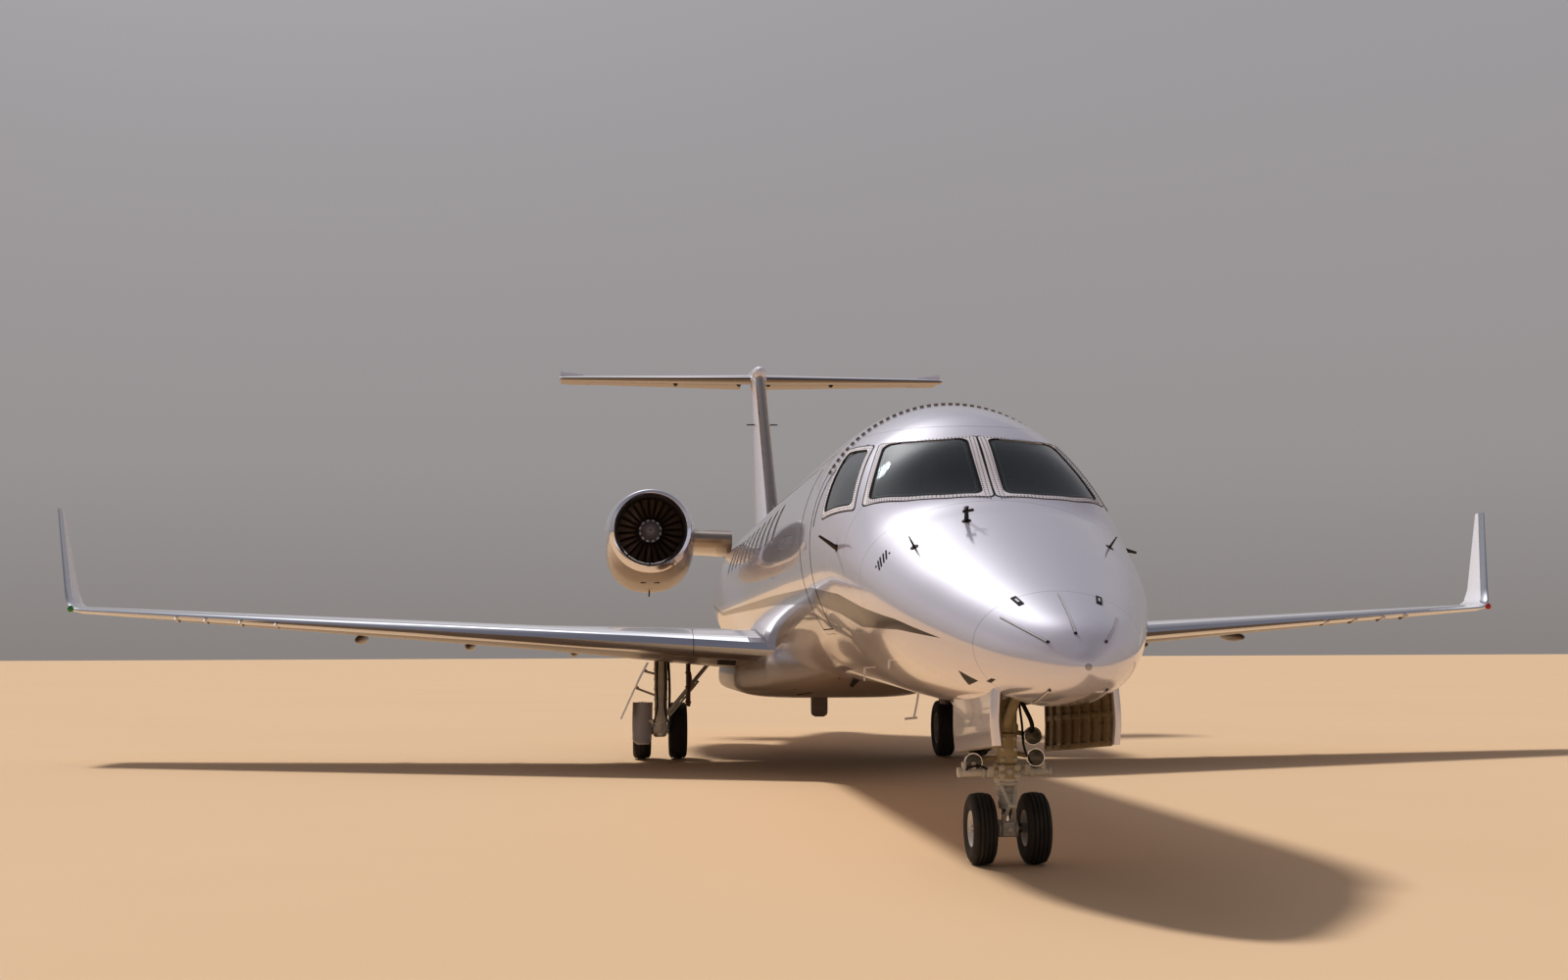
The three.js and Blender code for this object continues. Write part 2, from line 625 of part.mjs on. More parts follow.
function noseStrut() {
  const { station, tyreRadius } = NOSE_GEAR;
  const collar = bar(at(0, station, 490), at(0, station, 575.2), 82, 82, 16);
  const rod = bar(at(0, station, tyreRadius), at(0, station, 560), 42, 42, 16);
  const block = bar(at(-NOSE_AXLE.block, station, tyreRadius), at(NOSE_AXLE.block, station, tyreRadius), 62);
  const link = joined(
    bar(at(0, station - 70, 540), at(0, station - 165, 400), 24, 20),
    bar(at(0, station - 165, 400), at(0, station - 30, 290), 20, 24),
  );
  return joined(collar, rod, block, link).subtract(axleBore(0, NOSE_GEAR, NOSE_AXLE));
}

// Nose gear doors hang from the bay's long edges: height at the front and rear, x at the front and rear
const NOSE_BAY = { from: 745, to: 2300, half: 286 };
const NOSE_DOOR = [[1230, 1180, 338, 300], [1010, 915, 352, 306], [862, 745, 340, 296]];

function noseGearDoor() {
  const { from, to } = NOSE_BAY;
  return loft(NOSE_DOOR.map(([front, rear, x, rearX]) => [
    at(x, from, front), at(x + 40, from, front), at(rearX + 34, to, rear), at(rearX, to, rear),
  ]));
}

function instrumentPanel() {
  const panel = box(-700, 700, 2800, 2900, FLOOR.top + FIT, 2330);
  const shield = box(-760, 760, 2560, 2960, 2330, 2390);
  const pedestal = box(-150, 150, 2880, 3480, FLOOR.top + FIT, 1980);
  return joined(panel, shield, pedestal).intersect(stretch(FUSELAGE, 1000, 3900, -WALL - 2));
}

function pilotSeat(x) {
  const base = box(x - 150, x + 150, 3300, 3620, FLOOR.top + FIT, 1760);
  const cushion = box(x - 240, x + 240, 3180, 3700, 1740, 1900);
  const back = box(x - 230, x + 230, 3640, 3760, 1850, 2520);
  const head = box(x - 130, x + 130, 3650, 3750, 2500, 2740);
  return joined(base, cushion, back, head);
}

// The aircraft
const aircraft = new THREE.Group();

function place(name, shape, material, position = [0, 0, 0]) {
  const geometry = shape.isBufferGeometry ? shape : geometryOf(shape);
  const mesh = new THREE.Mesh(geometry, material);
  mesh.name = name;
  mesh.position.set(...position);
  aircraft.add(mesh);
  return mesh;
}

function placePair(name, shape, material, [x, ...rest] = [0, 0, 0]) {
  const geometry = geometryOf(shape);
  const left = place(`${name}_left`, geometry, material, [x, ...rest]);
  const right = place(`${name}_right`, mirrored(geometry), material, [-x, ...rest]);
  return [left, right];
}

// Fuselage joints
const JOINTS = { radome: 700, nose: 4020, forward: 8600, centre: 15000, rear: 19600 };
const bay = box(-NOSE_BAY.half, NOSE_BAY.half, NOSE_BAY.from, NOSE_BAY.to, 900, 1420);

place('radome', outer(0, JOINTS.radome - FIT), WHITE);
const holes = Object.values(WINDOWS).map((corners) => bothSides(windowBlock(corners)));
const nose = shell(JOINTS.radome, JOINTS.nose - FIT).subtract(bay);
place('nose_section', holes.reduce((rest, hole) => rest.subtract(hole), nose), WHITE);
Object.entries(WINDOWS).forEach(([name, corners]) => placePair(name, pane(corners), GLASS));
const forward = shell(JOINTS.nose, JOINTS.forward - FIT);
const doorways = forward.subtract(doorBlock(DOORS.main)).subtract(doorBlock(DOORS.service));
place('forward_fuselage', joined(doorways, doorPin()), WHITE);
place('centre_fuselage', shell(JOINTS.forward, JOINTS.centre - FIT), WHITE);
const rear = shell(JOINTS.centre, JOINTS.rear - FIT);
place('rear_fuselage', rear.subtract(doorBlock(DOORS.baggage)), WHITE);
place('tail_cone', shell(JOINTS.rear, 24850), WHITE);
place('main_door', doorIn(DOORS.main, forward).subtract(doorPin(PIN.play)), WHITE);
place('service_door', doorIn(DOORS.service, forward), WHITE);
place('baggage_door', doorIn(DOORS.baggage, rear), WHITE);

const body = outer(500, 24800, FIT);
const fairingSkin = (grow = 0) => stretch(FAIRING, 9300, 17500, grow, FAIRING_POWER);
place('belly_fairing', fairingSkin().subtract(body), WHITE);
place('belly_antenna', joined(
  bar(at(0, 13650, 640), at(0, 13650, 960), 110, 110, 16),
  bar(at(0, 13650, 580), at(0, 13650, 640), 60, 110, 16),
).subtract(fairingSkin(FIT)), GREY);

// Inside: one floor from nose to rear, and the cockpit
const floor = box(-900, 900, 760, 18800, FLOOR.top - FLOOR.thick, FLOOR.top)
  .intersect(stretch(FUSELAGE, 760, 18800, -WALL - LINING_FIT));
place('floor', floor, GREY);
place('instrument_panel', instrumentPanel(), DARK);
placePair('pilot_seat', pilotSeat(430), LEATHER);
const wall = stretch(FUSELAGE, 3975, 4015, -WALL - LINING_FIT)
  .intersect(box(-1200, 1200, 3900, 4100, FLOOR.top + FIT, 3500))
  .subtract(box(-320, 320, 3900, 4100, 1400, 3180));
place('cockpit_wall', wall, GREY);

// Wing
const wings = wing();
placePair('wing', wings.body.subtract(body).subtract(fairingSkin(FIT)), WHITE);
wings.panels.forEach(([name, panel]) => placePair(name, panel.body, WHITE));

// Tail
const tail = fin();
const tailFoil = loft(TAILPLANE.map((section) => foilRing(section, 0)));
const elevator = control(TAILPLANE, 0, ELEVATOR, 0);
const hornFrom = elevator.b.clone().lerp(elevator.a, ELEVATOR.horn / elevator.a.distanceTo(elevator.b));
const outboard = elevator.b.clone().sub(elevator.a).normalize().multiplyScalar(400);
const hornEnd = elevator.b.clone().add(outboard);
const hornBlock = hingeBlock(hornFrom, hornEnd, elevator.up, HORN);
const hornRoom = hingeBlock(hornFrom, hornEnd, elevator.up, {
  front: HORN.front + HORN_GAP, frontEnd: HORN.frontEnd + SWING_GAP, behind: HORN.behind, past: SWING_GAP,
});
const elevatorBody = joined(elevator.body, tailFoil.intersect(hornBlock));
const leftTail = joined(tailFoil.subtract(elevator.room).subtract(hornRoom), ...elevator.pins);
const tailplane = joined(bothSides(leftTail), bullet());

const tailplaneRoom = [[0, 0, -2 * FIT], [0, -2 * FIT, 0], [0, 0, 2 * FIT]].map((move) =>
  solid(geometryOf(tailplane).translate(...move)));
place('fin', tail.body.subtract(body).subtract(joined(...tailplaneRoom)), WHITE);
place('rudder', tail.rudder.body, WHITE);
place('tailplane', tailplane, WHITE);

// The elevators hang drooped about their hinges, as parked
placePair('elevator', elevatorBody, WHITE).forEach((mesh, i) => {
  const side = i === 0 ? 1 : -1;
  const mirror = new THREE.Vector3(side, 1, 1);
  const hinge = elevator.a.clone().multiply(mirror);
  const axis = elevator.b.clone().multiply(mirror).sub(hinge).normalize();
  mesh.quaternion.setFromAxisAngle(axis, -side * rad(ELEVATOR.droop));
  mesh.position.copy(hinge.clone().sub(hinge.clone().applyQuaternion(mesh.quaternion)));
});

// Engines
const skin = nacelleSkin();
const nacelle = skin.subtract(turned(DUCT, ENGINE.x, ENGINE.z));
placePair('nacelle', nacelle, WHITE);
placePair('engine', engineCore(), METAL, [ENGINE.x, 0, ENGINE.z]);
placePair('fan', fan(), GREY, [ENGINE.x, 0, ENGINE.z]);
placePair('pylon', pylon().subtract(body).subtract(nacelleSkin(FIT)), METAL);

// Nose gear
const { station: noseStation, tyreRadius: noseRadius } = NOSE_GEAR;
place('nose_leg', noseLeg(), OLIVE);
place('nose_strut', noseStrut(), OLIVE);
place('nose_wheels', twinWheels(NOSE_GEAR, NOSE_AXLE), RUBBER, [0, y(noseStation), noseRadius]);
placePair('nose_gear_door', noseGearDoor().subtract(body), WHITE);

// Main gear
const { station: mainStation, x: mainX, tyreRadius: mainRadius } = MAIN_GEAR;
const underWing = solid(geometryOf(wings.body).translate(0, 0, -2 * FIT));
placePair('main_leg', mainLeg().subtract(joined(wings.body, underWing, fairingSkin(FIT))), METAL);
placePair('main_wheels', twinWheels(MAIN_GEAR, MAIN_AXLE), RUBBER, [mainX, y(mainStation), mainRadius]);
placePair('main_gear_door', mainGearDoor(), GREY);

export default aircraft;
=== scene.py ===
"""Business jet: the looks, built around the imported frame. Metres; the nose points to -Y, +X is its left."""
import json
from math import cos, hypot, pi, radians, sin, sqrt

import bmesh
import bpy
from mathutils import Matrix, Vector, geometry
from mathutils.bvhtree import BVHTree

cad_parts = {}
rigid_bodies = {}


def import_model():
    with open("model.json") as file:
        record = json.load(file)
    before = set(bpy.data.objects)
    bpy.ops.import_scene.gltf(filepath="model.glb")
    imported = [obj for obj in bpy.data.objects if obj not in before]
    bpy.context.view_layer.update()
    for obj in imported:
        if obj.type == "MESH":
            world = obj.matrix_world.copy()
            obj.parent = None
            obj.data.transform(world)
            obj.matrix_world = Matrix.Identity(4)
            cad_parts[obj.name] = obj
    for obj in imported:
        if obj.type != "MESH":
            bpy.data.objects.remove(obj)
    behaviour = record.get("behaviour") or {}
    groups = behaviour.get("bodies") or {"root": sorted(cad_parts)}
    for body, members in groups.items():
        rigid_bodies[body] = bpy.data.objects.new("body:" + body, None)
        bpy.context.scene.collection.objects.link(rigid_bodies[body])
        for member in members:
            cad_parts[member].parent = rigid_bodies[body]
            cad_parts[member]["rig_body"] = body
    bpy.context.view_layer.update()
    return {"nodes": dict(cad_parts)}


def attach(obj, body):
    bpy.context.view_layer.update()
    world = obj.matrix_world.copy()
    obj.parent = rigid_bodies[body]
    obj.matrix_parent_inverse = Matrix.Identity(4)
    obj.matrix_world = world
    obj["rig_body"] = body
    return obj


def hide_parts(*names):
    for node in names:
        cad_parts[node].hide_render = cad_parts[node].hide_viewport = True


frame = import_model()

# Camera
# It stands ahead of the nose at eye height, a little to the aircraft's right, and looks up slightly.
# The lens covers the photograph's 1600 x 1000 frame.
LENS_PIXELS = 1836.96
FRAME_WIDTH = 1600
SENSOR = 36.0
CAMERA_PLACE = (-2.587, -22.996, 1.419)
FARTHEST_SEEN = 1000
VIEW_RIGHT = Vector((0.995908, -0.0902814, -0.0040642))
VIEW_UP = Vector((-0.0040662, -0.0896899, 0.9959614))
camera_data = bpy.data.cameras.new("camera")
camera_data.sensor_width = SENSOR
camera_data.lens = LENS_PIXELS / FRAME_WIDTH * SENSOR
camera_data.clip_end = FARTHEST_SEEN
camera = bpy.data.objects.new("camera", camera_data)
bpy.context.scene.collection.objects.link(camera)
camera.matrix_world = Matrix((VIEW_RIGHT, VIEW_UP, VIEW_RIGHT.cross(VIEW_UP))).transposed().to_4x4()
camera.location = CAMERA_PLACE
bpy.context.scene.camera = camera


# Studio floor and light
# A plain sand-coloured floor, a pale grey dome with a bright glow, and one even lamp that shines from behind
# the tail on the right side, as the day's light came.
class Wire:
    """An output of a material's node. An expression on wires and numbers adds Math nodes."""

    def __init__(self, finish, socket):
        self.finish = finish
        self.socket = socket

    def maths(self, operation, *others):
        return self.finish.node("ShaderNodeMath", [self, *others], operation=operation)

    def __add__(self, other):
        return self.maths("ADD", other)

    def __sub__(self, other):
        return self.maths("SUBTRACT", other)

    def __rsub__(self, other):
        return self.finish.node("ShaderNodeMath", [other, self], operation="SUBTRACT")

    def __mul__(self, other):
        return self.maths("MULTIPLY", other)

    def __truediv__(self, other):
        return self.maths("DIVIDE", other)

    def __rtruediv__(self, other):
        return self.finish.node("ShaderNodeMath", [other, self], operation="DIVIDE")

    def __lt__(self, other):
        return self.maths("LESS_THAN", other)

    def __gt__(self, other):
        return self.maths("GREATER_THAN", other)

    def __abs__(self):
        return self.maths("ABSOLUTE")

    __radd__ = __add__
    __rmul__ = __mul__


class Finish:
    """A material, or the world, and its nodes."""

    def __init__(self, tree):
        self.tree = tree

    def feed(self, socket, value):
        if isinstance(value, Wire):
            self.tree.links.new(value.socket, socket)
        else:
            socket.default_value = value

    def node(self, kind, values=(), out=0, stops=None, **settings):
        """Adds a node: its settings, then its ramp's stops, then its sockets' values or wires."""
        made = self.tree.nodes.new(kind)
        for name, value in settings.items():
            setattr(made, name, value)
        if stops:
            ramp = made.color_ramp.elements
            while len(ramp) < len(stops):
                ramp.new(0.5)
            for element, (place, color) in zip(ramp, stops):
                element.position = place
                element.color = color
        for name, value in values.items() if isinstance(values, dict) else enumerate(values):
            self.feed(made.inputs[name], value)
        return Wire(self, made.outputs[out])

    def blend(self, share, first, second):
        """Colour: first where share is 0, second where it is 1."""
        made = self.tree.nodes.new("ShaderNodeMix")
        made.data_type = "RGBA"
        for socket, value in zip((made.inputs[0], made.inputs[6], made.inputs[7]), (share, first, second)):
            self.feed(socket, value)
        return Wire(self, made.outputs[2])

    def fed(self, name):
        """What this socket of the shader is fed with."""
        return Wire(self, self.shader[name].links[0].from_socket)


def linear(red, green, blue):
    """A colour given as it looks on a screen, 0 to 255."""
    return (*(((c / 255 + 0.055) / 1.055) ** 2.4 if c > 10 else c / 3294 for c in (red, green, blue)), 1)


def new_finish(name, **uniform):
    """A material with one Principled shader, Object coordinates as x, y, z, and its uniform values set."""
    material = bpy.data.materials.new(name)
    material.use_nodes = True
    material.node_tree.nodes.clear()
    finish = Finish(material.node_tree)
    finish.material = material
    shader = finish.tree.nodes.new("ShaderNodeBsdfPrincipled")
    output = finish.tree.nodes.new("ShaderNodeOutputMaterial")
    finish.tree.links.new(shader.outputs[0], output.inputs[0])
    finish.shader = shader.inputs
    finish.place = finish.node("ShaderNodeTexCoord", out="Object")
    finish.x, finish.y, finish.z = (
        finish.node("ShaderNodeSeparateXYZ", [finish.place], out=axis) for axis in range(3))
    for socket, value in uniform.items():
        finish.shader[socket.replace("_", " ")].default_value = value
    return finish


def noise(finish, scale, detail=4, roughness=0.6, squeeze=(1, 1, 1)):
    """Noise about 0.5, its grain drawn out along an axis where squeeze is below 1."""
    place = finish.node("ShaderNodeMapping", {"Vector": finish.place, "Scale": squeeze})
    return finish.node("ShaderNodeTexNoise", {
        "Vector": place, "Scale": scale, "Detail": detail, "Roughness": roughness})


def bump(finish, height, depth, strength=1.0):
    """Feeds a height, 0 to 1, of this depth in metres to the shader's normal."""
    normal = finish.node("ShaderNodeBump", {"Height": height, "Distance": depth, "Strength": strength},
                         out="Normal")
    finish.feed(finish.shader["Normal"], normal)


FLOOR_SIDE = 900.0
FLOOR_DROP = 0.001
SAND = (linear(216, 184, 148), linear(222, 191, 156))
floor_mesh = bmesh.new()
bmesh.ops.create_grid(floor_mesh, x_segments=1, y_segments=1, size=FLOOR_SIDE / 2)
floor_data = bpy.data.meshes.new("floor_plane")
floor_mesh.to_mesh(floor_data)
floor_plane = bpy.data.objects.new("floor_plane", floor_data)
bpy.context.scene.collection.objects.link(floor_plane)
floor_plane.location.z = -FLOOR_DROP
floor_finish = new_finish("studio_floor", Roughness=0.75, Specular_IOR_Level=0.2)
floor_finish.feed(floor_finish.shader["Base Color"], floor_finish.blend(noise(floor_finish, 0.15, 3), *SAND))
floor_data.materials.append(floor_finish.material)

world = bpy.data.worlds.new("studio")
bpy.context.scene.world = world
world.use_nodes = True
world.node_tree.nodes.clear()
dome = Finish(world.node_tree)
dome_height = dome.node("ShaderNodeSeparateXYZ", [dome.node("ShaderNodeTexCoord", out="Generated")], out=2)
dome_color = dome.node("ShaderNodeValToRGB", [dome_height], stops=(
    (0.0, linear(186, 180, 177)),
    (0.10, linear(204, 199, 199)),
    (0.42, linear(214, 211, 216)),
    (0.56, linear(186, 184, 194)),
    (1.0, linear(160, 159, 172)),
))
# A bright glow above the tail, which the nose reflects: its way, then how narrow and how bright each part is
GLOW_WAY = (-0.17, 0.64, 0.74)
GLOW_PARTS = ((18.0, (1.5, 1.48, 1.55, 1)), (60.0, (6.0, 5.9, 6.0, 1)))
DOME_STRENGTH = 0.48
glow = dome.node("ShaderNodeVectorMath", [dome.node("ShaderNodeTexCoord", out="Generated"), GLOW_WAY],
                 out="Value", operation="DOT_PRODUCT").maths("MAXIMUM", 0.0)
for narrowness, glow_color in GLOW_PARTS:
    dome_color = dome.blend(glow.maths("POWER", narrowness), dome_color, glow_color)
dome_light = dome.node("ShaderNodeBackground", [dome_color, DOME_STRENGTH])
bpy.context.scene.view_settings.view_transform = "Standard"
bpy.context.scene.view_settings.look = "Medium High Contrast"
dome_output = dome.tree.nodes.new("ShaderNodeOutputWorld")
dome.tree.links.new(dome_light.socket, dome_output.inputs[0])

# The strong lamp: the way it lies from the aircraft, its width as seen from there and its strength
LAMP_WAY = Vector((-20, 38, 45))
LAMP_WIDTH = radians(6)
LAMP_STRENGTH = 2.7
lamp_data = bpy.data.lights.new("lamp_back", "SUN")
lamp_data.angle = LAMP_WIDTH
lamp_data.energy = LAMP_STRENGTH
lamp = bpy.data.objects.new("lamp_back", lamp_data)
bpy.context.scene.collection.objects.link(lamp)
lamp.matrix_world = LAMP_WAY.to_track_quat("Z", "Y").to_matrix().to_4x4()
lamp.location = LAMP_WAY
lamp.visible_glossy = False


# Fuselage skin
# Riveted aluminium sheet over frames, 90 mm deep with its lining, in six lengths from the composite radome
# to the tail cone. Each length is lofted from rings and its openings are cut out.
NOSE_AT = 13.165
WALL = 0.09
SKIN = (  # station, top, bottom, half width, height of the widest place
    (0.00, 1.332, 1.328, 0.002, 1.330),
    (0.06, 1.436, 1.232, 0.112, 1.335),
    (0.20, 1.556, 1.172, 0.250, 1.360),
    (0.45, 1.672, 1.122, 0.405, 1.405),
    (0.70, 1.775, 1.092, 0.512, 1.460),
    (1.10, 1.936, 1.066, 0.660, 1.560),
    (1.60, 2.140, 1.050, 0.815, 1.700),
    (2.10, 2.345, 1.042, 0.920, 1.850),
    (2.39, 2.470, 1.040, 0.965, 1.940),
    (3.07, 2.990, 1.040, 1.042, 2.110),
    (3.50, 3.205, 1.045, 1.082, 2.180),
    (3.98, 3.340, 1.055, 1.110, 2.230),
    (4.50, 3.407, 1.070, 1.126, 2.255),
    (5.50, 3.425, 1.095, 1.135, 2.275),
    (7.00, 3.425, 1.120, 1.140, 2.280),
    (17.50, 3.420, 1.140, 1.140, 2.280),
    (18.50, 3.418, 1.190, 1.130, 2.295),
    (19.60, 3.408, 1.330, 1.080, 2.350),
    (21.00, 3.385, 1.640, 0.950, 2.480),
    (22.50, 3.350, 2.080, 0.740, 2.680),
    (23.80, 3.310, 2.500, 0.510, 2.880),
    (24.60, 3.270, 2.780, 0.320, 3.010),
    (24.85, 3.200, 2.880, 0.170, 3.040),
)
LENGTHS = {  # node: its first and last station
    "radome": (0.0, 0.6997),
    "nose_section": (0.70, 4.0197),
    "forward_fuselage": (4.02, 8.5997),
    "centre_fuselage": (8.60, 14.9997),
    "rear_fuselage": (15.0, 19.5997),
    "tail_cone": (19.6, 24.85),
}
NOSE_BAY = {"half": 0.286, "from": 0.745, "to": 2.30, "low": 0.9, "deep": 0.52}
DOORS = {  # side, station, width, sill, head, gap round it
    "main_door": (1, 4.05, 0.72, 1.50, 3.20, 0.010),
    "service_door": (-1, 4.15, 0.62, 1.56, 2.96, 0.003),
    "baggage_door": (1, 15.75, 1.00, 1.98, 2.94, 0.003),
}
DOOR_SLOPE = 0.25
WINDSCREEN = [(0.066, 3.045, 2.970), (0.260, 3.066, 2.960), (0.430, 3.150, 2.950), (0.643, 3.360, 2.945),
              (0.838, 2.835, 2.476), (0.600, 2.600, 2.490), (0.340, 2.485, 2.505), (0.072, 2.450, 2.514)]
SIDE_WINDOW = [(0.725, 3.485, 2.934), (0.822, 3.930, 2.950), (1.056, 3.662, 2.455), (0.926, 2.996, 2.465)]
WINDOW_CORNER = 0.062
CABIN_WINDOWS = [7.60 + 0.79 * i for i in range(10)]
CABIN_WINDOW = {"half": 0.125, "low": 2.47, "high": 2.85, "corner": 0.10}
RING_POINTS = 96


def smooth_row(table, place, key=lambda value: value):
    """The table's row at this place, on a smooth curve that doesn't overshoot."""
    knots = [key(row[0]) for row in table]
    at = min(max(key(place), knots[0]), knots[-1])
    i = max(k for k in range(len(knots) - 1) if knots[k] <= at)
    width = knots[i + 1] - knots[i]
    share = (at - knots[i]) / width
    result = []
    for column in range(1, len(table[0])):
        slopes = [(b[column] - a[column]) / (kb - ka)
                  for a, b, ka, kb in zip(table, table[1:], knots, knots[1:])]

        def tangent(k):
            if k in (0, len(knots) - 1):
                return slopes[min(k, len(slopes) - 1)]
            before, after = slopes[k - 1], slopes[k]
            return 2 * before * after / (before + after) if before * after > 0 else 0.0
        low, high = table[i][column], table[i + 1][column]
        t2, t3 = share ** 2, share ** 3
        result.append(low * (2 * t3 - 3 * t2 + 1) + high * (3 * t2 - 2 * t3)
                      + width * (tangent(i) * (t3 - 2 * t2 + share) + tangent(i + 1) * (t3 - t2)))
    return result


def skin_row(station):
    return smooth_row(SKIN, station, key=sqrt)


def ring_of(mesh, station, top, bottom, half, wide):
    """A ring whose upper and lower halves are ovals that meet at the widest height."""
    verts = bmesh.ops.create_circle(mesh, segments=RING_POINTS, radius=1,
                                    matrix=Matrix.Rotation(pi / 2, 4, "X"))["verts"]
    upper = [v for v in verts if v.co.z > 0]
    lower = [v for v in verts if v.co.z <= 0]
    bmesh.ops.scale(mesh, vec=(half, 1, top - wide), verts=upper)
    bmesh.ops.scale(mesh, vec=(half, 1, wide - bottom), verts=lower)
    bmesh.ops.translate(mesh, vec=(0, station - NOSE_AT, wide), verts=verts)
    return verts


def skin_ring(mesh, station, grow=0.0):
    top, bottom, half, wide = skin_row(station)
    return ring_of(mesh, station, top + grow, bottom - grow, half + grow, wide)


def rim(verts):
    """The edges that run round a ring of points."""
    ring = set(verts)
    return [e for e in {e for v in verts for e in v.link_edges} if set(e.verts) <= ring]


def join_rings(mesh, rings):
    for first, second in zip(rings, rings[1:]):
        bmesh.ops.bridge_loops(mesh, edges=rim(first) + rim(second))


def closed_loft(mesh, rings):
    """A skin over some rings, closed at both ends, its faces outwards."""
    join_rings(mesh, rings)
    for ring in (rings[0], rings[-1]):
        bmesh.ops.contextual_create(mesh, geom=rim(ring))
    bmesh.ops.recalc_face_normals(mesh, faces=mesh.faces[:])


TIP_ENDS, COCKPIT_ENDS = 0.6, 4.6
COCKPIT_STEP, CABIN_STEP = 0.05, 0.12


def stations_between(start, end):
    """Stations from start to end, closer together towards the nose."""
    places = [start]
    while places[-1] < end - 1e-6:
        here = places[-1]
        if here < TIP_ENDS:
            ahead = (sqrt(here) + 0.03) ** 2
        else:
            ahead = here + (COCKPIT_STEP if here < COCKPIT_ENDS else CABIN_STEP)
        places.append(min(end, ahead))
    return places


def shell_mesh(start, end, low, high):
    """A closed stretch of skin from `low` to `high`, both measured outwards from the outline."""
    mesh = bmesh.new()
    join_rings(mesh, [skin_ring(mesh, place, high) for place in stations_between(start, end)])
    bmesh.ops.recalc_face_normals(mesh, faces=mesh.faces[:])
    bmesh.ops.solidify(mesh, geom=mesh.faces[:], thickness=high - low)
    return mesh


def link(mesh, name, finish=None):
    """Turns a bmesh into an object at the origin, with one material."""
    data = bpy.data.meshes.new(name)
    mesh.to_mesh(data)
    mesh.free()
    piece = bpy.data.objects.new(name, data)
    bpy.context.scene.collection.objects.link(piece)
    if finish:
        data.materials.append(finish.material)
    return piece


def cut(piece, cutter, operation="DIFFERENCE"):
    """Cuts a piece with another, which is used up."""
    step = piece.modifiers.new("cut", "BOOLEAN")
    step.object = cutter
    step.operation = operation
    step.solver = "EXACT"
    bpy.context.view_layer.update()
    made = bpy.data.meshes.new_from_object(piece.evaluated_get(bpy.context.evaluated_depsgraph_get()))
    piece.modifiers.clear()
    piece.data = made
    bpy.data.objects.remove(cutter)
    return piece


def smooth(piece, angle=35):
    """Smooth shading, with edges sharper than the angle kept sharp."""
    mesh = bmesh.new()
    mesh.from_mesh(piece.data)
    bmesh.ops.remove_doubles(mesh, verts=mesh.verts[:], dist=0.00005)
    for face in mesh.faces:
        face.smooth = True
    for edge in mesh.edges:
        edge.smooth = len(edge.link_faces) == 2 and edge.calc_face_angle(0) < radians(angle)
    mesh.to_mesh(piece.data)
    mesh.free()
    return piece


def prism(outline, normal, low, high, corner=0.0):
    """A block whose cross section is an outline of points, with round corners, pushed along a normal."""
    mesh = bmesh.new()
    face = mesh.faces.new([mesh.verts.new(point) for point in outline])
    if corner:
        bmesh.ops.bevel(mesh, geom=face.verts[:], offset=corner, offset_type="OFFSET", segments=6,
                        profile=0.5, affect="VERTICES", material=-1)
    way = Vector(normal).normalized()
    bmesh.ops.translate(mesh, vec=way * low, verts=mesh.verts[:])
    made = bmesh.ops.extrude_face_region(mesh, geom=mesh.faces[:])["geom"]
    far_end = [part for part in made if isinstance(part, bmesh.types.BMVert)]
    bmesh.ops.translate(mesh, vec=way * (high - low), verts=far_end)
    bmesh.ops.recalc_face_normals(mesh, faces=mesh.faces[:])
    return mesh


def at(x, station, z):
    return Vector((x, station - NOSE_AT, z))


def grown(outline, by):
    """An outline of points in one plane, its edges moved outwards, all by as much or each by its own."""
    by = by if isinstance(by, list) else [by] * len(outline)
    result = []
    for i, point in enumerate(outline):
        back = (outline[i - 1] - point).normalized()
        on = (outline[(i + 1) % len(outline)] - point).normalized()
        result.append(point - (back * by[i] + on * by[i - 1]) / sin(back.angle(on)))
    return result


def window_outline(corners, side, grow=0.0):
    """A cockpit window's outline on one side of the nose, laid flat and grown, and the way it faces."""
    points = [at(side * x, station, z) for x, station, z in corners]
    normal = geometry.normal(points)
    if normal.x * side < 0:
        normal = -normal
    middle = sum(points, Vector()) / len(points)
    return grown([point - normal * (point - middle).dot(normal) for point in points], grow), normal


def door_outline(name, shrink=0.0):
    """A door's outline seen along the aircraft, in x and z, its head sloping, and its two stations."""
    side, station, width, sill, head, gap = DOORS[name]
    line = [(0.30, sill + shrink), (1.50, sill + shrink),
            (1.50, head + DOOR_SLOPE * 0.8 - shrink), (0.30, head - DOOR_SLOPE * 0.4 - shrink)]
    return [(side * x, z) for x, z in line], station + shrink, station + width - shrink


def door_block(name, shrink=0.0):
    line, start, end = door_outline(name, shrink)
    return prism([at(x, start, z) for x, z in line], (0, 1, 0), 0, end - start)


def window_blocks(start, end, grow=0.0):
    """A block through each cabin window between two stations, grown all round."""
    half, corner = CABIN_WINDOW["half"] + grow, CABIN_WINDOW["corner"] + grow
    low, high = CABIN_WINDOW["low"] - grow, CABIN_WINDOW["high"] + grow
    return [prism([at(side * 0.5, middle - half, low), at(side * 0.5, middle + half, low),
                   at(side * 0.5, middle + half, high), at(side * 0.5, middle - half, high)],
                  (side, 0, 0), 0, 1.0, corner)
            for side in (1, -1) for middle in CABIN_WINDOWS if start < middle < end]


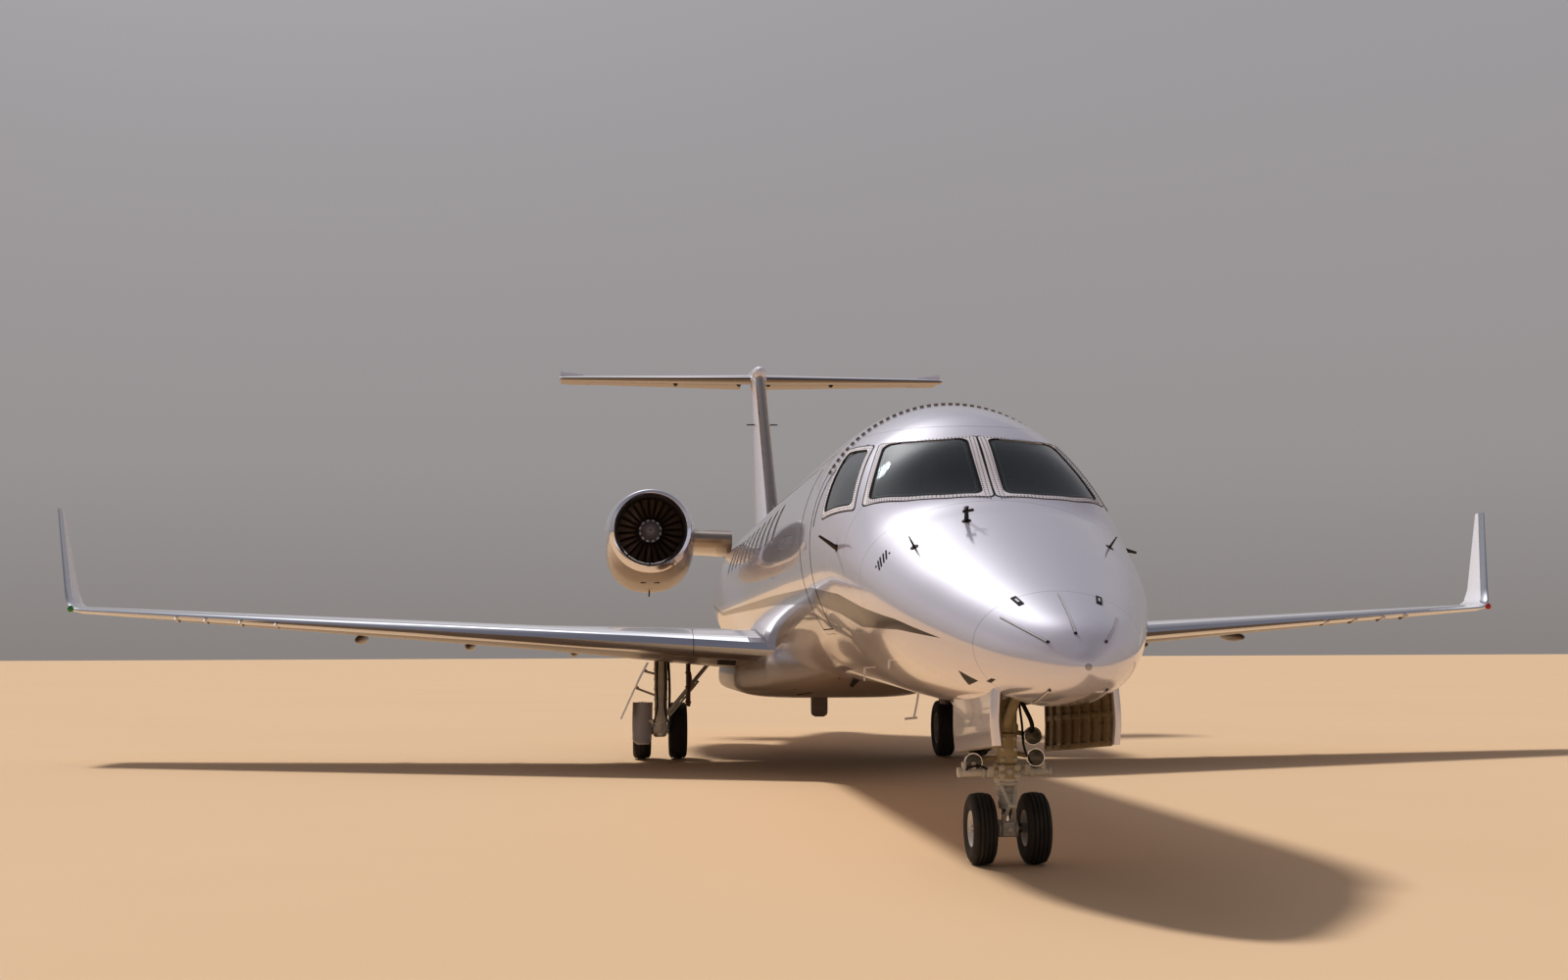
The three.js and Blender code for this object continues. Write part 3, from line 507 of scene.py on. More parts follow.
def skin_normal(point):
    """The way the smooth skin faces at a point on it."""
    def depth(x, station, z):
        top, bottom, half, wide = skin_row(max(station, 0.0005))
        return (x / half) ** 2 + ((z - wide) / (top - wide if z > wide else wide - bottom)) ** 2
    x, station, z = point.x, point.y + NOSE_AT, point.z
    if station < 0.0008:
        return Vector((0, -1, 0))
    step = min(0.002, station * 0.3)
    slope = [depth(x + step, station, z) - depth(x - step, station, z),
             depth(x, station + step, z) - depth(x, station - step, z),
             depth(x, station, z + step) - depth(x, station, z - step)]
    return Vector(slope).normalized()


def shade_as_skin(piece, limit=0.94):
    """Gives the outer faces the smooth skin's own normals, so that cut edges leave no marks in its gloss."""
    mesh = piece.data
    turned = [Vector()] * len(mesh.loops)
    known = {}
    for face in mesh.polygons:
        if face.normal.dot(skin_normal(face.center)) < limit:
            continue
        for loop in face.loop_indices:
            index = mesh.loops[loop].vertex_index
            if index not in known:
                known[index] = skin_normal(mesh.vertices[index].co)
            turned[loop] = known[index]
    mesh.normals_split_custom_set(turned)
    return piece


def join_meshes(parts):
    """One bmesh out of several."""
    whole = bmesh.new()
    for part in parts:
        data = bpy.data.meshes.new("part")
        part.to_mesh(data)
        part.free()
        whole.from_mesh(data)
        bpy.data.meshes.remove(data)
    return whole


SEAM_HALF = 0.0022


def seam(value, place, half=SEAM_HALF):
    return abs(value - place) < half


def add_seams(finish, rings, levels, pitch=None):
    """Panel lines: rings at stations, lines at heights, and rings at an even pitch."""
    lines = [seam(finish.y, station - NOSE_AT) for station in rings]
    lines += [seam(finish.z, level) for level in levels]
    if pitch:
        lines.append(abs((finish.y + NOSE_AT).maths("PINGPONG", pitch)) < SEAM_HALF)
    total = lines[0]
    for line in lines[1:]:
        total = total.maths("MAXIMUM", line)
    return total


STRIPE_SPAN = 27  # the whole length that a stripe's ramp covers, and the greatest height
STRIPE_RISE = 4


def stripe_edge(finish, points):
    """The height of a stripe's edge along the aircraft, from points of station and height."""
    stops = [(station / STRIPE_SPAN, (height / STRIPE_RISE,) * 3 + (1,)) for station, height in points]
    return finish.node("ShaderNodeValToRGB", [(finish.y + NOSE_AT) / STRIPE_SPAN], stops=stops) * STRIPE_RISE


WHITE_PAINT = linear(230, 228, 238)
ROAD_FILM = linear(206, 198, 192)
SEAM_SHADE = linear(92, 88, 92)
STRIPE_PAINT = linear(52, 50, 56)
STRIPE_UPPER = ((1.05, 1.500), (1.65, 1.625), (2.41, 1.722), (3.17, 1.839), (4.4, 1.93), (8.0, 1.97),
                (16.5, 2.00), (20.5, 2.32), (24.8, 3.02))
STRIPE_LOWER = ((1.05, 1.500), (1.65, 1.560), (2.70, 1.592), (3.36, 1.700), (4.4, 1.80), (8.0, 1.88),
                (16.5, 1.95), (20.5, 2.29), (24.8, 3.01))


def paint_finish(name, seams=None, stripe=False, color=WHITE_PAINT):
    """Glossy two-coat paint: faint orange peel, a little film drawn out along the flow, dark panel lines."""
    finish = new_finish(name, Metallic=0.45, Coat_Weight=0.7, Coat_Roughness=0.03, Specular_IOR_Level=0.6)
    film = noise(finish, 1.6, 5, 0.65, (1, 0.15, 1))
    tone = finish.blend(film * 0.10, color, ROAD_FILM)
    if stripe:
        below, above = stripe_edge(finish, STRIPE_UPPER), stripe_edge(finish, STRIPE_LOWER)
        inside = (finish.z < below) * (finish.z > above)
        tone = finish.blend(inside, tone, STRIPE_PAINT)
        finish.feed(finish.shader["Coat Weight"], 0.7 - inside * 0.6)
    peel = noise(finish, 60, 2, 0.5)
    height = peel * 0.06
    if seams:
        lines = add_seams(finish, *seams)
        tone = finish.blend(lines * 0.55, tone, SEAM_SHADE)
        height = height - lines
    finish.feed(finish.shader["Base Color"], tone)
    finish.feed(finish.shader["Roughness"], noise(finish, 7, 4) * 0.08 + 0.12)
    bump(finish, height, 0.001, 0.25)
    return finish


def fade(value, length):
    """0 where a value is below 0, 1 where it is above a length."""
    return value.finish.node("ShaderNodeMath", [value, length], operation="DIVIDE", use_clamp=True)


def paint_underside_shade(finish, share, color, metallic):
    """Blends a paint towards a darker, rougher one on the undersides: painted shade, and the painted
    reflection of the shaded floor.
    """
    shader = finish.shader
    finish.feed(shader["Base Color"], finish.blend(share, finish.fed("Base Color"), color))
    finish.feed(shader["Roughness"], finish.fed("Roughness") + share * 0.18)
    finish.feed(shader["Coat Weight"], 0.7 - share * 0.5)
    finish.feed(shader["Metallic"], metallic * (1 - share * 0.7))


def mount(piece, body, replaces=None):
    """Says which body a piece rides on, and which frame piece it takes the place of."""
    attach(piece, body)
    if replaces:
        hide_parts(replaces)


fuselage_paint = paint_finish("fuselage_paint", seams=([0.7, 2.36], [3.08], 1.42), stripe=True)
door_paint = paint_finish("door_paint", stripe=True)
window_holes = [window_outline(corners, side) for corners in (WINDSCREEN, SIDE_WINDOW) for side in (1, -1)]

for node, (start, end) in LENGTHS.items():
    if node == "radome":
        mesh = bmesh.new()
        closed_loft(mesh, [skin_ring(mesh, place) for place in stations_between(start, end)])
    else:
        mesh = shell_mesh(start, end, -WALL, 0)
    piece = link(mesh, node + "_skin", fuselage_paint)
    cutters = []
    if node == "nose_section":
        cutters += [prism(outline, normal, -0.30, 0.20, WINDOW_CORNER) for outline, normal in window_holes]
        bay = [at(side * NOSE_BAY["half"], NOSE_BAY[end_of_bay], NOSE_BAY["low"]) for side, end_of_bay in (
            (-1, "from"), (1, "from"), (1, "to"), (-1, "to"))]
        cutters.append(prism(bay, (0, 0, 1), 0, NOSE_BAY["deep"]))
    if node == "forward_fuselage":
        cutters += [door_block("main_door"), door_block("service_door")]
    if node == "rear_fuselage":
        cutters.append(door_block("baggage_door"))
    cutters += window_blocks(start, end)
    if cutters:
        cut(piece, link(join_meshes(cutters), "cutter"))
    smooth(piece)
    shade_as_skin(piece)
    mount(piece, "airframe", node)

for name, (side, station, width, sill, head, gap) in DOORS.items():
    stretch = shell_mesh(station - 0.05, station + width + 0.05, -WALL, 0)
    panel = link(stretch, name + "_skin", door_paint)
    cut(panel, link(door_block(name, gap), "cutter"), "INTERSECT")
    smooth(panel)
    shade_as_skin(panel)
    mount(panel, "main_door" if name == "main_door" else "airframe", name)


# Cockpit windows
# Two flat-looking windscreens and a side window on each side: laminated glass in a black rubber seal, held
# by pale metal retainers that are screwed down all round.
def skin_patch(name, start, end, low, high, blocks, finish, holes=()):
    """A plate that follows the skin, from low to high, inside the blocks and outside the holes."""
    piece = link(shell_mesh(start, end, low, high), name, finish)
    cut(piece, link(join_meshes(blocks), "cutter"), "INTERSECT")
    if holes:
        cut(piece, link(join_meshes(holes), "cutter"))
    smooth(piece)
    return shade_as_skin(piece)


def on_skin(point, lift=0.0):
    """The place on the skin straight out from its middle through a point, lifted, and the way it faces."""
    top, bottom, half, wide = skin_row(max(point.y + NOSE_AT, 0.0005))
    up = point.z - wide
    share = 1 / hypot(point.x / half, up / (top - wide if up > 0 else wide - bottom))
    place = Vector((point.x * share, point.y, wide + up * share))
    normal = skin_normal(place)
    return place + normal * lift, normal


def stand(place, normal):
    """A matrix that stands a piece on a surface: Z along the normal, Y as near forward as it can be."""
    side = Vector((0, -1, 0)).cross(normal).normalized()
    return Matrix.Translation(place) @ Matrix((side, normal.cross(side), normal)).transposed().to_4x4()


def screw_row(mesh, points, pitch, radius, height=0.003):
    """Screw heads at an even pitch round a closed outline, standing off the skin by their height."""
    for start, end in zip(points, points[1:] + points[:1]):
        count = max(1, round((end - start).length / pitch))
        for i in range(count):
            place, normal = on_skin(start.lerp(end, i / count), height)
            bmesh.ops.create_cone(mesh, cap_ends=True, segments=6, radius1=radius, radius2=radius * 0.8,
                                  depth=height, matrix=stand(place, normal))


FRAME_WIDE = {"windshield": [0.036] * 7 + [0.058], "side_window": [0.036] * 4}  # along each edge
SEAL_WIDE = 0.020
SCREW_PITCH = 0.026
SCREW_RADIUS = 0.0045
glass = new_finish("cockpit_glass", Transmission_Weight=0.9, IOR=1.45, Coat_Weight=0.5)
tint = glass.blend(noise(glass, 2), linear(128, 144, 142), linear(104, 118, 120))
glass.feed(glass.shader["Base Color"], tint)
glass.feed(glass.shader["Roughness"], noise(glass, 40, 3) * 0.02)


def two_tone(name, first, second, grain, gloss_grain, spread, least, **uniform):
    """A dark finish of two close tones, whose roughness varies from its least value by a spread."""
    finish = new_finish(name, **uniform)
    tone = finish.blend(noise(finish, grain), linear(*first), linear(*second))
    finish.feed(finish.shader["Base Color"], tone)
    finish.feed(finish.shader["Roughness"], noise(finish, gloss_grain) * spread + least)
    return finish


seal_rubber = two_tone("window_seal", (22, 22, 24), (44, 43, 44), 60, 90, 0.3, 0.45)
bump(seal_rubber, noise(seal_rubber, 300, 2), 0.0005, 0.4)


def metal_finish(name, color, roughness, grain=(1, 1, 1), scale=30.0, dirt=0.15, metallic=1.0):
    """Bare or lacquered metal: brushed tone and gloss, a little dirt in the low places."""
    finish = new_finish(name, Metallic=metallic)
    brushed = noise(finish, scale, 6, 0.65, grain)
    finish.feed(finish.shader["Base Color"], finish.blend(brushed * dirt * 2, color, linear(70, 62, 54)))
    finish.feed(finish.shader["Roughness"], brushed * 0.25 + max(roughness - 0.12, 0.0))
    bump(finish, brushed, 0.0003, 0.25)
    return finish


retainer = metal_finish("window_retainer", linear(246, 240, 242), 0.34, metallic=0.0, dirt=0.03)
bead_white = metal_finish("window_bead", linear(206, 200, 184), 0.4, metallic=0.0, dirt=0.1)
for kind, corners in (("windshield", WINDSCREEN), ("side_window", SIDE_WINDOW)):
    start, end = min(c[1] for c in corners) - 0.15, max(c[1] for c in corners) + 0.15
    for side, hand in ((1, "left"), (-1, "right")):
        def block(grow, corner=WINDOW_CORNER):
            outline, normal = window_outline(corners, side, grow)
            return prism(outline, normal, -0.30, 0.20, corner)
        name = f"{kind}_{hand}"
        widths = FRAME_WIDE[kind]
        pane = skin_patch(name + "_pane", start, end, -0.019, -0.007, [block(-SEAL_WIDE, 0.052)], glass)
        seal = skin_patch(name + "_seal", start, end, -0.030, -0.002, [block(-0.001)], seal_rubber,
                          [block(-SEAL_WIDE + 0.001, 0.052)])
        rim_frame = skin_patch(name + "_retainer", start, end, -0.004, 0.003, [block(widths, 0.04)],
                               retainer, [block(-0.003)])
        bead = skin_patch(name + "_bead", start, end, -0.0225, -0.0195, [block(-0.042, 0.045)], bead_white,
                          [block(-0.048, 0.042)])
        gap_line = skin_patch(name + "_gap", start, end, -0.002, 0.002,
                              [block([wide + 0.010 for wide in widths], 0.045)], seal_rubber,
                              [block([wide - 0.001 for wide in widths], 0.04)])
        screws = bmesh.new()
        for share in (0.25, 0.78):
            outline, normal = window_outline(corners, side, [wide * share for wide in widths])
            screw_row(screws, outline, SCREW_PITCH, SCREW_RADIUS)
        heads = link(screws, name + "_screws", seal_rubber)
        mount(pane, "airframe", name)
        mount(seal, "airframe")
        mount(rim_frame, "airframe")
        for piece in (heads, bead, gap_line):
            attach(piece, "airframe")


# Cabin windows
# Ten on each side: acrylic panes in flush polished frames that are riveted to the skin. The panes are opaque,
# and their near-black tone is painted shade for the unlit cabin behind them.
shaded_cabin_glass = two_tone("cabin_glass", (22, 24, 28), (40, 42, 46), 2, 30, 0.06, 0.02, Coat_Weight=1.0,
                      Coat_Roughness=0.01)
rim_metal = metal_finish("window_rims", linear(208, 208, 212), 0.25)
for length in ("forward_fuselage", "centre_fuselage"):
    start, end = LENGTHS[length]
    row = [middle for middle in CABIN_WINDOWS if start < middle < end]
    first, last = row[0] - 0.3, row[-1] + 0.3
    panes = skin_patch(length + "_panes", first, last, -0.060, -0.012, window_blocks(first, last, 0.004),
                       shaded_cabin_glass)
    rims = skin_patch(length + "_rims", first, last, -0.014, 0.0015, window_blocks(first, last, 0.014),
                      rim_metal, window_blocks(first, last, -0.004))
    mount(panes, "airframe")
    mount(rims, "airframe")


# Radome and nose details
# Aluminium lightning strips on the radome, its latches, the air data probes, static slots and scoops, and
# the sealant and handles of the doors. They are screwed to the skin or laid flush in it.
def band_on_skin(mesh, points, width, height, lift=0.0005, steps=10):
    """A flat bar that follows the skin through some points."""
    path = []
    for start, end in zip(points, points[1:]):
        path += [Vector(start).lerp(Vector(end), i / steps) for i in range(steps)]
    path.append(Vector(points[-1]))
    edge = None
    for i, point in enumerate(path):
        place, normal = on_skin(point, lift)
        along = (path[min(i + 1, len(path) - 1)] - path[max(i - 1, 0)]).normalized()
        across = along.cross(normal).normalized() * width / 2
        if edge is None:
            edge = mesh.edges.new([mesh.verts.new(place - across), mesh.verts.new(place + across)])
            strip = []
            continue
        made = bmesh.ops.extrude_edge_only(mesh, edges=[edge])["geom"]
        edge = next(e for e in made if isinstance(e, bmesh.types.BMEdge))
        strip += [f for f in made if isinstance(f, bmesh.types.BMFace)]
        left, right = edge.verts
        if (right.co - left.co).dot(across) < 0:
            left, right = right, left
        left.co, right.co = place - across, place + across
    bmesh.ops.recalc_face_normals(mesh, faces=strip)
    if strip[0].normal.dot(skin_normal(strip[0].calc_center_median())) > 0:
        bmesh.ops.reverse_faces(mesh, faces=strip)
    bmesh.ops.solidify(mesh, geom=strip, thickness=height)


dark_metal_and_shadow = metal_finish("probe_metal", linear(74, 70, 68), 0.35, metallic=0.9)
strip_metal = metal_finish("strip_metal", linear(222, 218, 222), 0.35, metallic=0.3, dirt=0.08)
# One black finish for real black parts, and for painted shade in slots, scoops, inlets and lamp panes.
black_paint_and_shade = two_tone("black_paint_and_shade", (14, 14, 15), (34, 32, 31), 20, 40, 0.3, 0.4)

STRIPS = (  # rear and front end of each
    (at(-0.001, 0.650, 1.754), at(-0.033, 0.154, 1.515)),
    (at(-0.366, 0.588, 1.616), at(-0.187, 0.185, 1.470)),
    (at(0.310, 0.500, 1.612), at(0.140, 0.150, 1.470)),
    (at(-0.167, 0.633, 1.121), at(-0.164, 0.249, 1.201)),
    (at(0.167, 0.633, 1.121), at(0.164, 0.249, 1.201)),
)
# Each strip lies on a wider dark band, a painted shadow of the strip, and ends in a dark foot at its front.
strips, strip_feet_and_shadows = bmesh.new(), bmesh.new()
for line in STRIPS:
    band_on_skin(strips, line, 0.010, 0.006)
    band_on_skin(strip_feet_and_shadows, line, 0.014, 0.0015)
    band_on_skin(strip_feet_and_shadows, (line[1], line[1] + Vector((0, -0.012, 0))), 0.016, 0.007, steps=2)
mount(link(strips, "lightning_strips", strip_metal), "airframe")
mount(link(strip_feet_and_shadows, "lightning_strip_feet", dark_metal_and_shadow), "airframe")

LATCHES = (
    (at(-0.263, 0.715, 1.737), at(-0.239, 0.595, 1.690)),
    (at(0.256, 0.713, 1.739), at(0.225, 0.590, 1.693)),
)
latches, latch_plates = bmesh.new(), bmesh.new()
for rear, front in LATCHES:
    band_on_skin(latches, (rear, front), 0.036, 0.004, steps=3)
    band_on_skin(latch_plates, (rear.lerp(front, 0.3), rear.lerp(front, 0.7)), 0.014, 0.006, steps=2)
# Slots of the static ports on the right side, a round port at each end of the row
# They are black bands on the skin: painted shade for the open holes.
PORTS = (
    (at(-0.869, 2.119, 2.024), at(-0.870, 2.025, 1.960)),
    (at(-0.853, 2.126, 2.049), at(-0.857, 2.025, 1.983)),
    (at(-0.833, 2.125, 2.073), at(-0.840, 2.028, 2.010)),
    (at(-0.813, 2.127, 2.095), at(-0.822, 2.031, 2.033)),
    (at(-0.885, 2.108, 1.990), at(-0.885, 2.092, 1.980)),
    (at(-0.800, 2.069, 2.079), at(-0.800, 2.053, 2.069)),
)
for rear, front in PORTS:
    band_on_skin(latches, (rear, front), 0.011, 0.002, steps=3)
mount(link(latches, "latches_and_slots", black_paint_and_shade), "airframe")
mount(link(latch_plates, "latch_plates", strip_metal), "airframe")

# Sealant along the door frames and the joint behind the cockpit, and the doors' flush handles
SEALANT_WIDE, SEALANT_HIGH, SEALANT_OUT = 0.009, 0.0012, 0.006
JOINT_LINE = ((1.102, 4.010, 2.385), (0.983, 3.960, 2.734), (0.842, 3.840, 2.914), (0.716, 3.600, 2.975))
HANDLE_HEIGHT = 2.26
HANDLE_PLATES = (  # shares of the door's width, then width, thickness and lift
    (0.30, 0.68, 0.055, 0.0012, 0.0002),
    (0.34, 0.62, 0.022, 0.006, 0.001),
)
sealant = bmesh.new()
for side, station, width, sill, head, gap in DOORS.values():
    front, rear = station - SEALANT_OUT, station + width + SEALANT_OUT
    low, high = sill - SEALANT_OUT, head - 0.07 + 0.03 if head > 3 else head
    for edge in (front, rear):
        upright = [at(side, edge, low + (high - low) * i / 6) for i in range(7)]
        band_on_skin(sealant, upright, SEALANT_WIDE, SEALANT_HIGH, steps=3)
    band_on_skin(sealant, (at(side, front, low), at(side, rear, low)), SEALANT_WIDE, SEALANT_HIGH)
for side in (1, -1):
    band_on_skin(sealant, [at(side * x, station, z) for x, station, z in JOINT_LINE], 0.012, 0.0015)
mount(link(sealant, "door_and_joint_sealant", seal_rubber), "airframe")
for name, (side, station, width, sill, head, gap) in DOORS.items():
    handle = bmesh.new()
    for ahead, back, wide, thick, lift in HANDLE_PLATES:
        bar = [at(side, station + width * share, HANDLE_HEIGHT) for share in (ahead, back)]
        band_on_skin(handle, bar, wide, thick, lift)
    mount(link(handle, name + "_handle", strip_metal), "main_door" if name == "main_door" else "airframe")


def lathe(profile, start, way, steps=32):
    """A turned piece: its profile is radius and distance along a line."""
    mesh = bmesh.new()
    made = [mesh.verts.new((radius, 0, height)) for radius, height in profile]
    edges = [mesh.edges.new(pair) for pair in zip(made, made[1:])]
    bmesh.ops.spin(mesh, geom=made + edges, cent=(0, 0, 0), axis=(0, 0, 1), angle=2 * pi, steps=steps,
                   use_merge=True)
    bmesh.ops.remove_doubles(mesh, verts=mesh.verts[:], dist=0.00001)
    bmesh.ops.recalc_face_normals(mesh, faces=mesh.faces[:])
    turn = Vector(way).to_track_quat("Z", "Y").to_matrix().to_4x4()
    bmesh.ops.transform(mesh, matrix=Matrix.Translation(start) @ turn, verts=mesh.verts[:])
    return mesh


def rod(start, end, radius, end_radius=None, steps=20):
    """A round bar from start to end."""
    length = (Vector(end) - Vector(start)).length
    return lathe([(0, 0), (radius, 0), (end_radius or radius, length), (0, length)], start,
                 Vector(end) - Vector(start), steps)


def block_of(size, matrix, bevel=0.0):
    """A rectangular block about its middle, its edges rounded."""
    mesh = bmesh.new()
    bmesh.ops.create_cube(mesh, size=1, matrix=Matrix.Diagonal((*size, 1)))
    if bevel:
        bmesh.ops.bevel(mesh, geom=mesh.edges[:], offset=bevel, segments=2, profile=0.5, affect="EDGES",
                        material=-1)
    bmesh.ops.transform(mesh, matrix=matrix, verts=mesh.verts[:])
    return mesh


def pitot(point, reach, length):
    """A mast that leans forward from the skin, with a tube that points into the flow."""
    place, normal = on_skin(Vector(point))
    foot = lathe([(0, -0.004), (0.032, -0.004), (0.032, 0.003), (0.018, 0.010), (0, 0.010)], place, normal)
    head = place + normal * reach + Vector((0, -0.05, 0))
    mast = rod(place, head, 0.017, 0.012)
    pipe = lathe([(0, 0), (0.007, 0), (0.011, 0.03), (0.012, length), (0.012, length + 0.05),
                  (0, length + 0.07)], head + Vector((0, -length, 0)), (0, 1, 0))
    return [foot, mast, pipe]


def pin(point, lean, reach, radius):
    """A tapered pin that stands out from a round screwed plate."""
    place, normal = on_skin(Vector(point))
    plate = lathe([(0, -0.004), (0.030, -0.004), (0.030, 0.002), (0.010, 0.006), (0, 0.006)], place, normal)
    return [plate, rod(place, place + (normal * reach + Vector(lean)), radius, radius * 0.45)]


probes = []
for side in (1, -1):
    probes += pin(at(side * 1.036, 3.045, 2.165), (0, -0.01, -0.045 if side > 0 else 0.075), 0.130, 0.019)
    probes += pin(at(side * 0.655, 1.900, 2.104), (0, 0, 0), 0.085, 0.009)
probes += pitot(at(-0.284, 2.020, 2.288), 0.09, 0.05)
probes += [rod(*(on_skin(at(-0.284 + dx, 1.975, 2.288), 0.088)[0] for dx in (-0.04, 0.04)), 0.010)]
mount(smooth(link(join_meshes(probes), "air_data_probes", dark_metal_and_shadow)), "airframe")

# Flush scoops: outlines on the skin as x, station, z
# Each is a black patch on the skin: painted shade for the scoop's recess, which is not cut.
SCOOPS = (
    ((-0.539, 0.999, 1.303), (-0.465, 1.063, 1.216), (-0.451, 0.855, 1.244)),
    ((-0.424, 0.743, 1.243), (-0.415, 0.652, 1.261), (-0.396, 0.607, 1.256), (-0.404, 0.701, 1.234)),
)
scoops = []
for corners in SCOOPS:
    points = [on_skin(at(*corner))[0] for corner in corners]
    scoops.append(prism(points, skin_normal(points[0]), -0.10, 0.10))
scoops = skin_patch("nose_scoops", 0.55, 1.25, -0.004, 0.0015, scoops, black_paint_and_shade)
mount(scoops, "airframe")


# Crown tabs
# A row of small upright tabs over the crown behind the cockpit, which trips the air flow. They are pressed
# from sheet metal and riveted to the skin.
TABS = {"station": 4.08, "count": 41, "reach": 59.0, "length": 0.032, "height": 0.016, "thick": 0.014}
tab_metal = metal_finish("tab_metal", linear(148, 140, 136), 0.4, metallic=0.5)
tabs = []
top, bottom, half, wide = skin_row(TABS["station"])
for i in range(TABS["count"]):
    angle = radians(TABS["reach"] * (2 * i / (TABS["count"] - 1) - 1))
    place, normal = on_skin(at(half * sin(angle), TABS["station"], wide + (top - wide) * cos(angle)))
    tabs.append(block_of((TABS["length"], TABS["thick"], TABS["height"]),
                         stand(place + normal * TABS["height"] * 0.45, normal), 0.002))
mount(link(join_meshes(tabs), "crown_tabs", tab_metal), "airframe")


# Belly fairing
# A composite fairing under the wing's centre section, squarer below than above, screwed to the skin, with
# four flush inlets. Its lower part is darkened with painted shade, and the inlets are black plates of painted
# shade.
FAIRING = (  # station, top, bottom, half width, height of the widest place
    (9.30, 1.500, 1.150, 0.300, 1.300),
    (10.20, 1.560, 0.990, 0.620, 1.260),
    (11.20, 1.660, 0.890, 0.960, 1.190),
    (12.20, 1.740, 0.866, 1.210, 1.130),
    (15.30, 1.760, 0.865, 1.220, 1.130),
    (16.40, 1.700, 1.010, 0.920, 1.300),
    (17.50, 1.600, 1.165, 0.420, 1.440),
)


def fairing_ring(mesh, station):
    top, bottom, half, wide = smooth_row(FAIRING, station)
    verts = ring_of(mesh, station, top, bottom, half, wide)
    for vert in verts:
        if vert.co.z < wide:
            across, down = vert.co.x / half, (wide - vert.co.z) / (wide - bottom)
            vert.co.x = half * (1 if across > 0 else -1) * abs(across) ** 0.5
            vert.co.z = wide - (wide - bottom) * down ** 0.5
    return verts


mesh = bmesh.new()
closed_loft(mesh, [fairing_ring(mesh, FAIRING[0][0] + 0.1 * i) for i in range(83)])
fairing_tree = BVHTree.FromBMesh(mesh)
fairing_paint = paint_finish("fairing_paint", seams=([10.9, 13.0, 15.6], [1.30], None))
# Below the fairing's middle the paint grows darker: painted shade and painted reflection of the shaded floor.
paint_underside_shade(fairing_paint, fade(1.52 - fairing_paint.z, 0.25), linear(146, 132, 122), 0.45)
fairing = smooth(link(mesh, "belly_fairing_skin", fairing_paint), 60)
mount(fairing, "airframe", "belly_fairing")


def plate_on(tree, corners, way, thick=0.004):
    """A thin plate laid on a surface: its corners are pushed along a direction until they meet it."""
    mesh = bmesh.new()
    points = []
    for corner in corners:
        hit, normal, _, _ = tree.ray_cast(Vector(corner), Vector(way))
        points.append(hit - Vector(way).normalized() * 0.001)
    mesh.faces.new([mesh.verts.new(point) for point in points])
    bmesh.ops.recalc_face_normals(mesh, faces=mesh.faces[:])
    if mesh.faces[:][0].normal.dot(Vector(way)) < 0:
        bmesh.ops.reverse_faces(mesh, faces=mesh.faces[:])
    bmesh.ops.solidify(mesh, geom=mesh.faces[:], thickness=thick)
    return mesh


# The inlets are black plates laid on the fairing: painted shade for their recesses, which are not cut.
INLETS = (  # corners of each, as x and station
    ((-0.26, 9.42), (-0.02, 9.42), (-0.04, 9.93)),
    ((-0.63, 10.50), (-0.42, 10.50), (-0.56, 10.86)),
    ((-0.80, 13.9), (-0.72, 14.2), (-0.88, 14.2)),
    ((0.80, 13.9), (0.72, 14.2), (0.88, 14.2)),
)
inlets = [plate_on(fairing_tree, [at(x, station, 0.0) for x, station in corners], (0, 0, 1))
          for corners in INLETS]
mount(link(join_meshes(inlets), "fairing_inlets", black_paint_and_shade), "airframe")


# Wing
# Aluminium skins painted light grey, with painted shade underneath, a bare polished leading edge that is
# heated against ice, upswept winglets, and small blades under the leading edge.
def dress(node, finish, angle=35):
    """A merged, smooth copy of a frame piece, on the same body."""
    source = frame["nodes"][node]
    mesh = bmesh.new()
    mesh.from_mesh(source.data)
    bmesh.ops.remove_doubles(mesh, verts=mesh.verts[:], dist=0.0001)
    bmesh.ops.dissolve_limit(mesh, angle_limit=radians(0.3), verts=mesh.verts[:], edges=mesh.edges[:])
    mount(smooth(link(mesh, node + "_skin", finish), angle), source["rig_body"], node)


JOINT_SHADE = linear(60, 58, 62)


def leading_edge_finish(name, aft, width, color=WHITE_PAINT, seams=None, metal=(214, 216, 222)):
    """Paint with a polished metal leading edge: aft gives the distance behind the edge on a finish."""
    finish = paint_finish(name, seams, color=color)
    bare = aft(finish) < width
    line = seam(aft(finish), width, 0.006)
    shader = finish.shader
    brushed = noise(finish, 12, 4, 0.6, (0.1, 0.1, 1))
    metal = finish.blend(brushed * 0.5, linear(*metal), linear(*(tone - 36 for tone in metal)))
    edged = finish.blend(bare, finish.fed("Base Color"), metal)
    finish.feed(shader["Base Color"], finish.blend(line * 0.6, edged, JOINT_SHADE))
    finish.feed(shader["Metallic"], bare * 1.0)
    finish.feed(shader["Roughness"], finish.fed("Roughness") * (1 - bare * 0.6))
    return finish


WING_LEAD, WING_SWEEP = 10.75, 0.47  # the leading edge's station on the centre line, and its slope
WING_RISE = 0.0635
WINGLET_FROM = 10.06
WINGLET_LEAD = ((2.03, 15.40), (2.14, 15.70), (2.32, 15.85), (3.50, 16.56))  # height and station of its edge
ROOT_JOINT = 1.72
BARE_EDGE = 0.16
WING_PAINT = linear(236, 234, 238)
# The colour below the wing's middle: painted shade and painted reflection of the shaded floor.
UNDER_WING_PAINTED_SHADE = linear(128, 116, 108)


def wing_aft(finish):
    return finish.y + (NOSE_AT - WING_LEAD) - abs(finish.x) * WING_SWEEP


def winglet_aft(finish):
    lead = finish.node("ShaderNodeValToRGB", [finish.z / 4], stops=[
        (z / 4, ((station - 15) / 2,) * 3 + (1,)) for z, station in WINGLET_LEAD]) * 2
    inboard = (abs(finish.x) < WINGLET_FROM) * 5
    return finish.y + (NOSE_AT - 15) - lead + inboard


def wing_edge_aft(finish):
    return wing_aft(finish).maths("MINIMUM", winglet_aft(finish))


